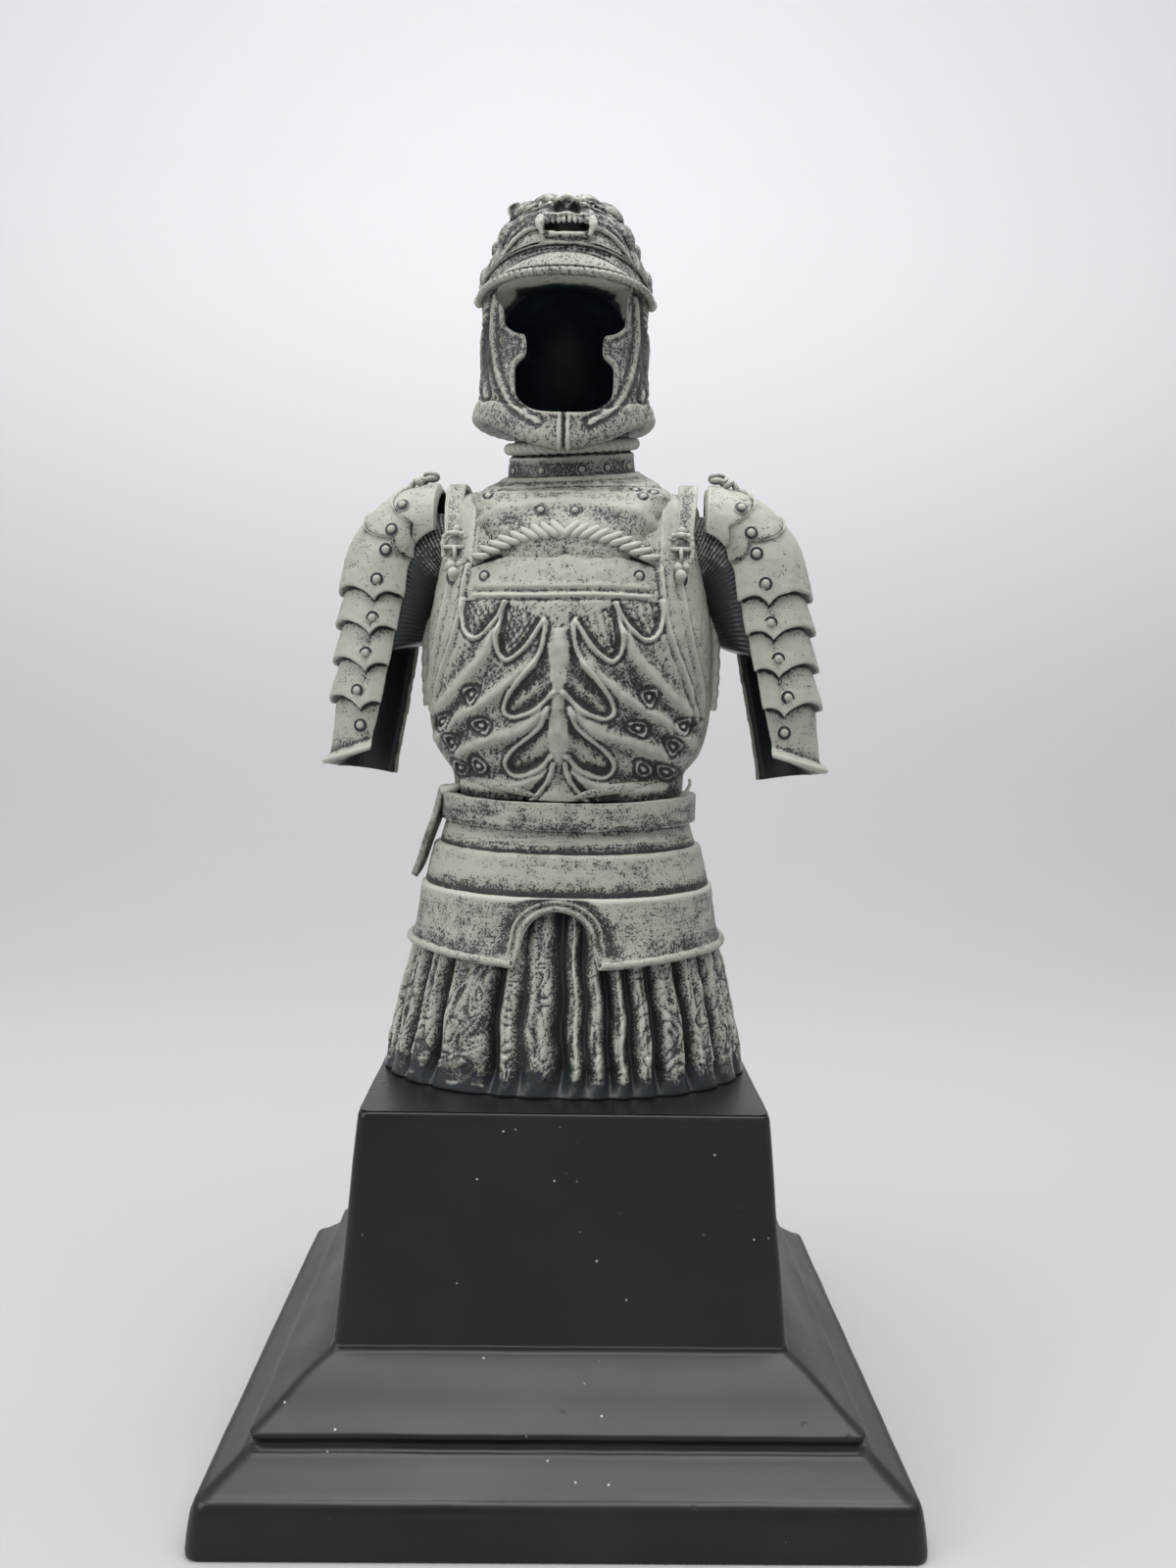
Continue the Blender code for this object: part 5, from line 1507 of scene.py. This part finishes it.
def beast_mask():
    """The beast's muzzle, fangs, brows and mane, joined and smoothed into one skin."""
    store = gathered()

    def lump(x, y, h, size, turn=0.0, lean=0.0, sides=(-1, 1)):
        for side in sides:
            add_grid(store, ball((side * x, y, h), size, side * turn, 14, 10, lean), on_head)

    def strand(points, radii, sides=(-1, 1), n=10):
        for side in sides:
            path = flowing([(side * a, b, c) for a, b, c in points], 6)
            r = np.interp(np.linspace(0, 1, len(path)), np.linspace(0, 1, len(radii)), radii)
            add_grid(store, tube(path, r, n), on_head)

    lump(0, -15.4, 201.8, (4.2, 4.6, 3.2), 0, 0, (1,))
    lump(0, -18.6, 203.0, (2.9, 2.0, 1.6), 0, 0, (1,))
    lump(2.4, -18.2, 202.2, (1.6, 1.8, 1.9), 0.3)
    lump(4.6, -16.0, 200.9, (3.6, 3.4, 2.0), 0.25)
    lump(8.4, -12.6, 200.2, (4.2, 4.2, 2.8), 0.55)
    lump(12.4, -9.6, 198.4, (4.4, 5.2, 3.4), 0.8)
    lump(4.6, -9.6, 206.0, (3.8, 4.4, 2.4), 0.2)
    lump(9.6, -6.2, 204.8, (4.4, 5.4, 2.6), 0.45)
    lump(0, -9, 206.2, (2.4, 5.4, 2.2), 0, 0, (1,))
    lump(12.8, -3, 201.0, (3.2, 5.0, 3.2), 0.85)
    lump(15.2, -2.6, 196.0, (2.4, 5.2, 4.0), 0.5)
    lump(18.6, -1, 189.0, (2.1, 4.8, 5.0), 0.2)
    lump(0, 0, 206.4, (9, 8, 3), 0, 0, (1,))
    strand([(5.7, -20.4, 199.6), (6.1, -21.5, 197.6), (5.3, -22.2, 195.0)], (1.25, 1.1, 0.3))
    strand([(-5.6, -20.6, 195.9), (0, -21.7, 195.5), (5.6, -20.6, 195.9)], (0.75, 0.7, 0.75), (1,))
    strand([(-6.6, -19.8, 194.2), (0, -21.6, 193.8), (6.6, -19.8, 194.2)], (0.55, 0.5, 0.55), (1,))
    for k in range(-4, 4):
        lump(1.25 * (k + 0.5), -21.0 + 0.06 * k * k, 199.1, (0.38, 0.55, 1.0), 0, 0, (1,))
    strand([(-5.6, -19.4, 200.3), (0, -20.8, 200.5), (5.6, -19.4, 200.3)], (0.6, 0.55, 0.6), (1,))
    strand([(5.6, -18.9, 199.9), (8.6, -16.6, 198.6), (12.6, -13.6, 195.6), (16.2, -10, 191.2)],
        (0.9, 1.0, 1.0, 0.7))
    strand([(3.6, -18.2, 203.6), (7.4, -14.6, 203.2), (11.4, -11.2, 202.2)], (0.7, 0.75, 0.6))
    strand([(3.2, -16.6, 205.2), (7, -13.2, 205), (10.8, -10.2, 204)], (0.65, 0.7, 0.6))
    strand([(8.4, -15.2, 201.4), (11.6, -12.6, 199.8), (14.8, -10, 197.2)], (0.6, 0.7, 0.5))
    for k in range(4):
        fold = ((6.2, 198.0 + 1.8 * k), (9.4, 197.4 + 1.9 * k), (12.8 - 0.5 * k, 195.0 + 2.2 * k),
            (15.4 - k, 191.6 + 2.9 * k))
        strand([(a, shell_y(a, b) - 0.7, b) for a, b in fold], (0.5, 0.62, 0.6, 0.3))
    lump(1.7, -20.2, 203.4, (1.3, 1.2, 1.1), 0.2)
    lump(0, -20.3, 204.2, (1.5, 1.2, 0.9), 0, 0, (1,))
    for k in range(6):
        t = k / 5
        lock = ((12, -10, 199.4, 5), (14.2, -7.6, 198.2, 4.8), (15.8, -4, 198.6, 4.4), (16.4, 0, 200, 4.2))
        strand([(a + b2 * t, c + 2 * t, d - 9.6 * t) for a, c, d, b2 in lock], (0.5, 0.9, 0.9, 0.4))
    strand([(-12.4, -8, 203.8), (-13.6, -8, 205.0), (-13.4, -8, 206.2), (-12.3, -8, 206.9),
        (-11.3, -8, 207.1)], (0.6, 0.5, 0.45, 0.4, 0.3), (1,))
    lump(11.6, -6.4, 202.4, (1.6, 1.8, 1.9), 0.6)
    made = gathered_piece("beast_mask", store, CARVED)
    remesh = made.modifiers.new("skin", "REMESH")
    remesh.mode = "VOXEL"
    remesh.voxel_size = 0.00038
    soft = made.modifiers.new("soft", "SMOOTH")
    soft.factor = 0.5
    soft.iterations = 2
    mesh = applied(made)
    points = values_of(mesh.vertices, "co")
    normals = values_of(mesh.vertex_normals, "vector", kind=np.float32)
    local = points / MM - (HELMET_SHIFT, 0, FOOT)
    lift = 0.12 * waves(local, 2.6, 51, 3)
    dark = np.zeros(len(local))
    for cx, cy, ch, r in ((2.1, -20.4, 202.3, 1.1), (6.2, -15.0, 205.0, 1.3), (13.4, -7.4, 201.6, 1.3),
            (8.6, -12.6, 202.6, 1.0)):
        for side in (-1, 1):
            d = np.sqrt((local[:, 0] - side * cx) ** 2 + 0.3 * (local[:, 1] - cy) ** 2
                + (local[:, 2] - ch) ** 2)
            lift -= bump(d, r, 1.5)
            dark += np.exp(-((d / r) ** 2))
    points += normals * lift[:, None] * MM
    mesh.vertices.foreach_set("co", points.ravel())
    mesh.update()
    mesh.shade_smooth()
    mesh.materials.clear()
    mesh.materials.append(CARVED)
    write_marks(mesh, tone=1.3 + 0.9 * dark + 0.3 * waves(local, 6, 52, 2), black=0.5 * dark)
    settle(made, passes=18, depth=0.26)


beast_mask()


# Camera, light and floor


def add_camera():
    camera = bpy.data.objects.new("camera", bpy.data.cameras.new("camera"))
    bpy.context.scene.collection.objects.link(camera)
    bpy.context.scene.camera = camera
    camera.data.sensor_width = 36
    camera.data.lens = 31.68
    camera.data.clip_start = 0.01
    yaw, pitch, roll = (math.radians(v) for v in (1.10, -3.20, 0.99))
    ahead = Vector((math.sin(yaw) * math.cos(pitch), math.cos(yaw) * math.cos(pitch), math.sin(pitch)))
    right = Vector((math.cos(yaw), -math.sin(yaw), 0))
    up = right.cross(ahead)
    side = math.cos(roll) * right + math.sin(roll) * up
    top = -math.sin(roll) * right + math.cos(roll) * up
    turn = Matrix((side, top, -ahead)).transposed()
    camera.matrix_world = Matrix.Translation(Vector((-1.8, -341.8, 171.4)) * MM) @ turn.to_4x4()


def add_light(name, place, target, size, power):
    light = bpy.data.objects.new(name, bpy.data.lights.new(name, "AREA"))
    bpy.context.scene.collection.objects.link(light)
    light.data.shape = "RECTANGLE"
    light.data.size, light.data.size_y = size
    light.data.energy = power
    light.location = place
    light.rotation_euler = (Vector(target) - Vector(place)).to_track_quat("-Z", "Y").to_euler()


def add_floor():
    """A floor that sweeps up into a backdrop, grey below and pale above: painted shade and painted light."""
    section = [(-3.0, 0.0), (0.5, 0.0)]
    section += [(0.5 + 0.8 * math.sin(a), 0.8 - 0.8 * math.cos(a)) for a in np.linspace(0.1, math.pi / 2, 12)]
    section += [(1.3, 3.0)]
    grid = np.array([[(x, y, z) for x in (-4.0, 4.0)] for y, z in section])
    mesh = bpy.data.meshes.new("floor")
    mesh.from_pydata(grid.reshape(-1, 3).tolist(), [], quads(len(section), 2, False).tolist())
    mesh.shade_smooth()
    made = bpy.data.objects.new("floor", mesh)
    bpy.context.scene.collection.objects.link(made)
    paint, tree, shader = paint_tree("pale_floor")
    place = add_node(tree, "ShaderNodeTexCoord").outputs["Object"]
    height = add_node(tree, "ShaderNodeSeparateXYZ", None, Vector=place).outputs["Z"]
    # Grey on the floor rising to pale up the backdrop: painted shade low down and painted light higher up.
    painted_light_rise = ramp(tree, height, 0.0, 0.85)
    tree.links.new(blended(tree, painted_light_rise, (0.37, 0.37, 0.373, 1), (0.82, 0.815, 0.84, 1)),
        shader.inputs["Base Color"])
    shader.inputs["Roughness"].default_value = 0.9
    mesh.materials.append(paint)


add_camera()
add_floor()
add_light("overhead", (0.05, -0.12, 1.1), (0, 0, 0.15), (1.1, 1.1), 15)
add_light("left_side", (-1.1, -0.6, 0.75), (0, 0, 0.16), (0.7, 0.7), 6.5)
add_light("backdrop", (0.0, 0.35, 1.9), (0, 1.3, 1.0), (1.6, 0.5), 8)
world = bpy.data.worlds.new("studio")
world.use_nodes = True
sky = world.node_tree
direction = add_node(sky, "ShaderNodeTexCoord").outputs["Generated"]
upwards = add_node(sky, "ShaderNodeSeparateXYZ", None, Vector=direction).outputs["Z"]
shade = blended(sky, ramp(sky, upwards, 0.0, 0.75), (0.24, 0.245, 0.26, 1), (0.86, 0.87, 0.9, 1))
sky.links.new(shade, sky.nodes["Background"].inputs[0])
bpy.context.scene.world = world
bpy.context.scene.view_settings.view_transform = "Standard"
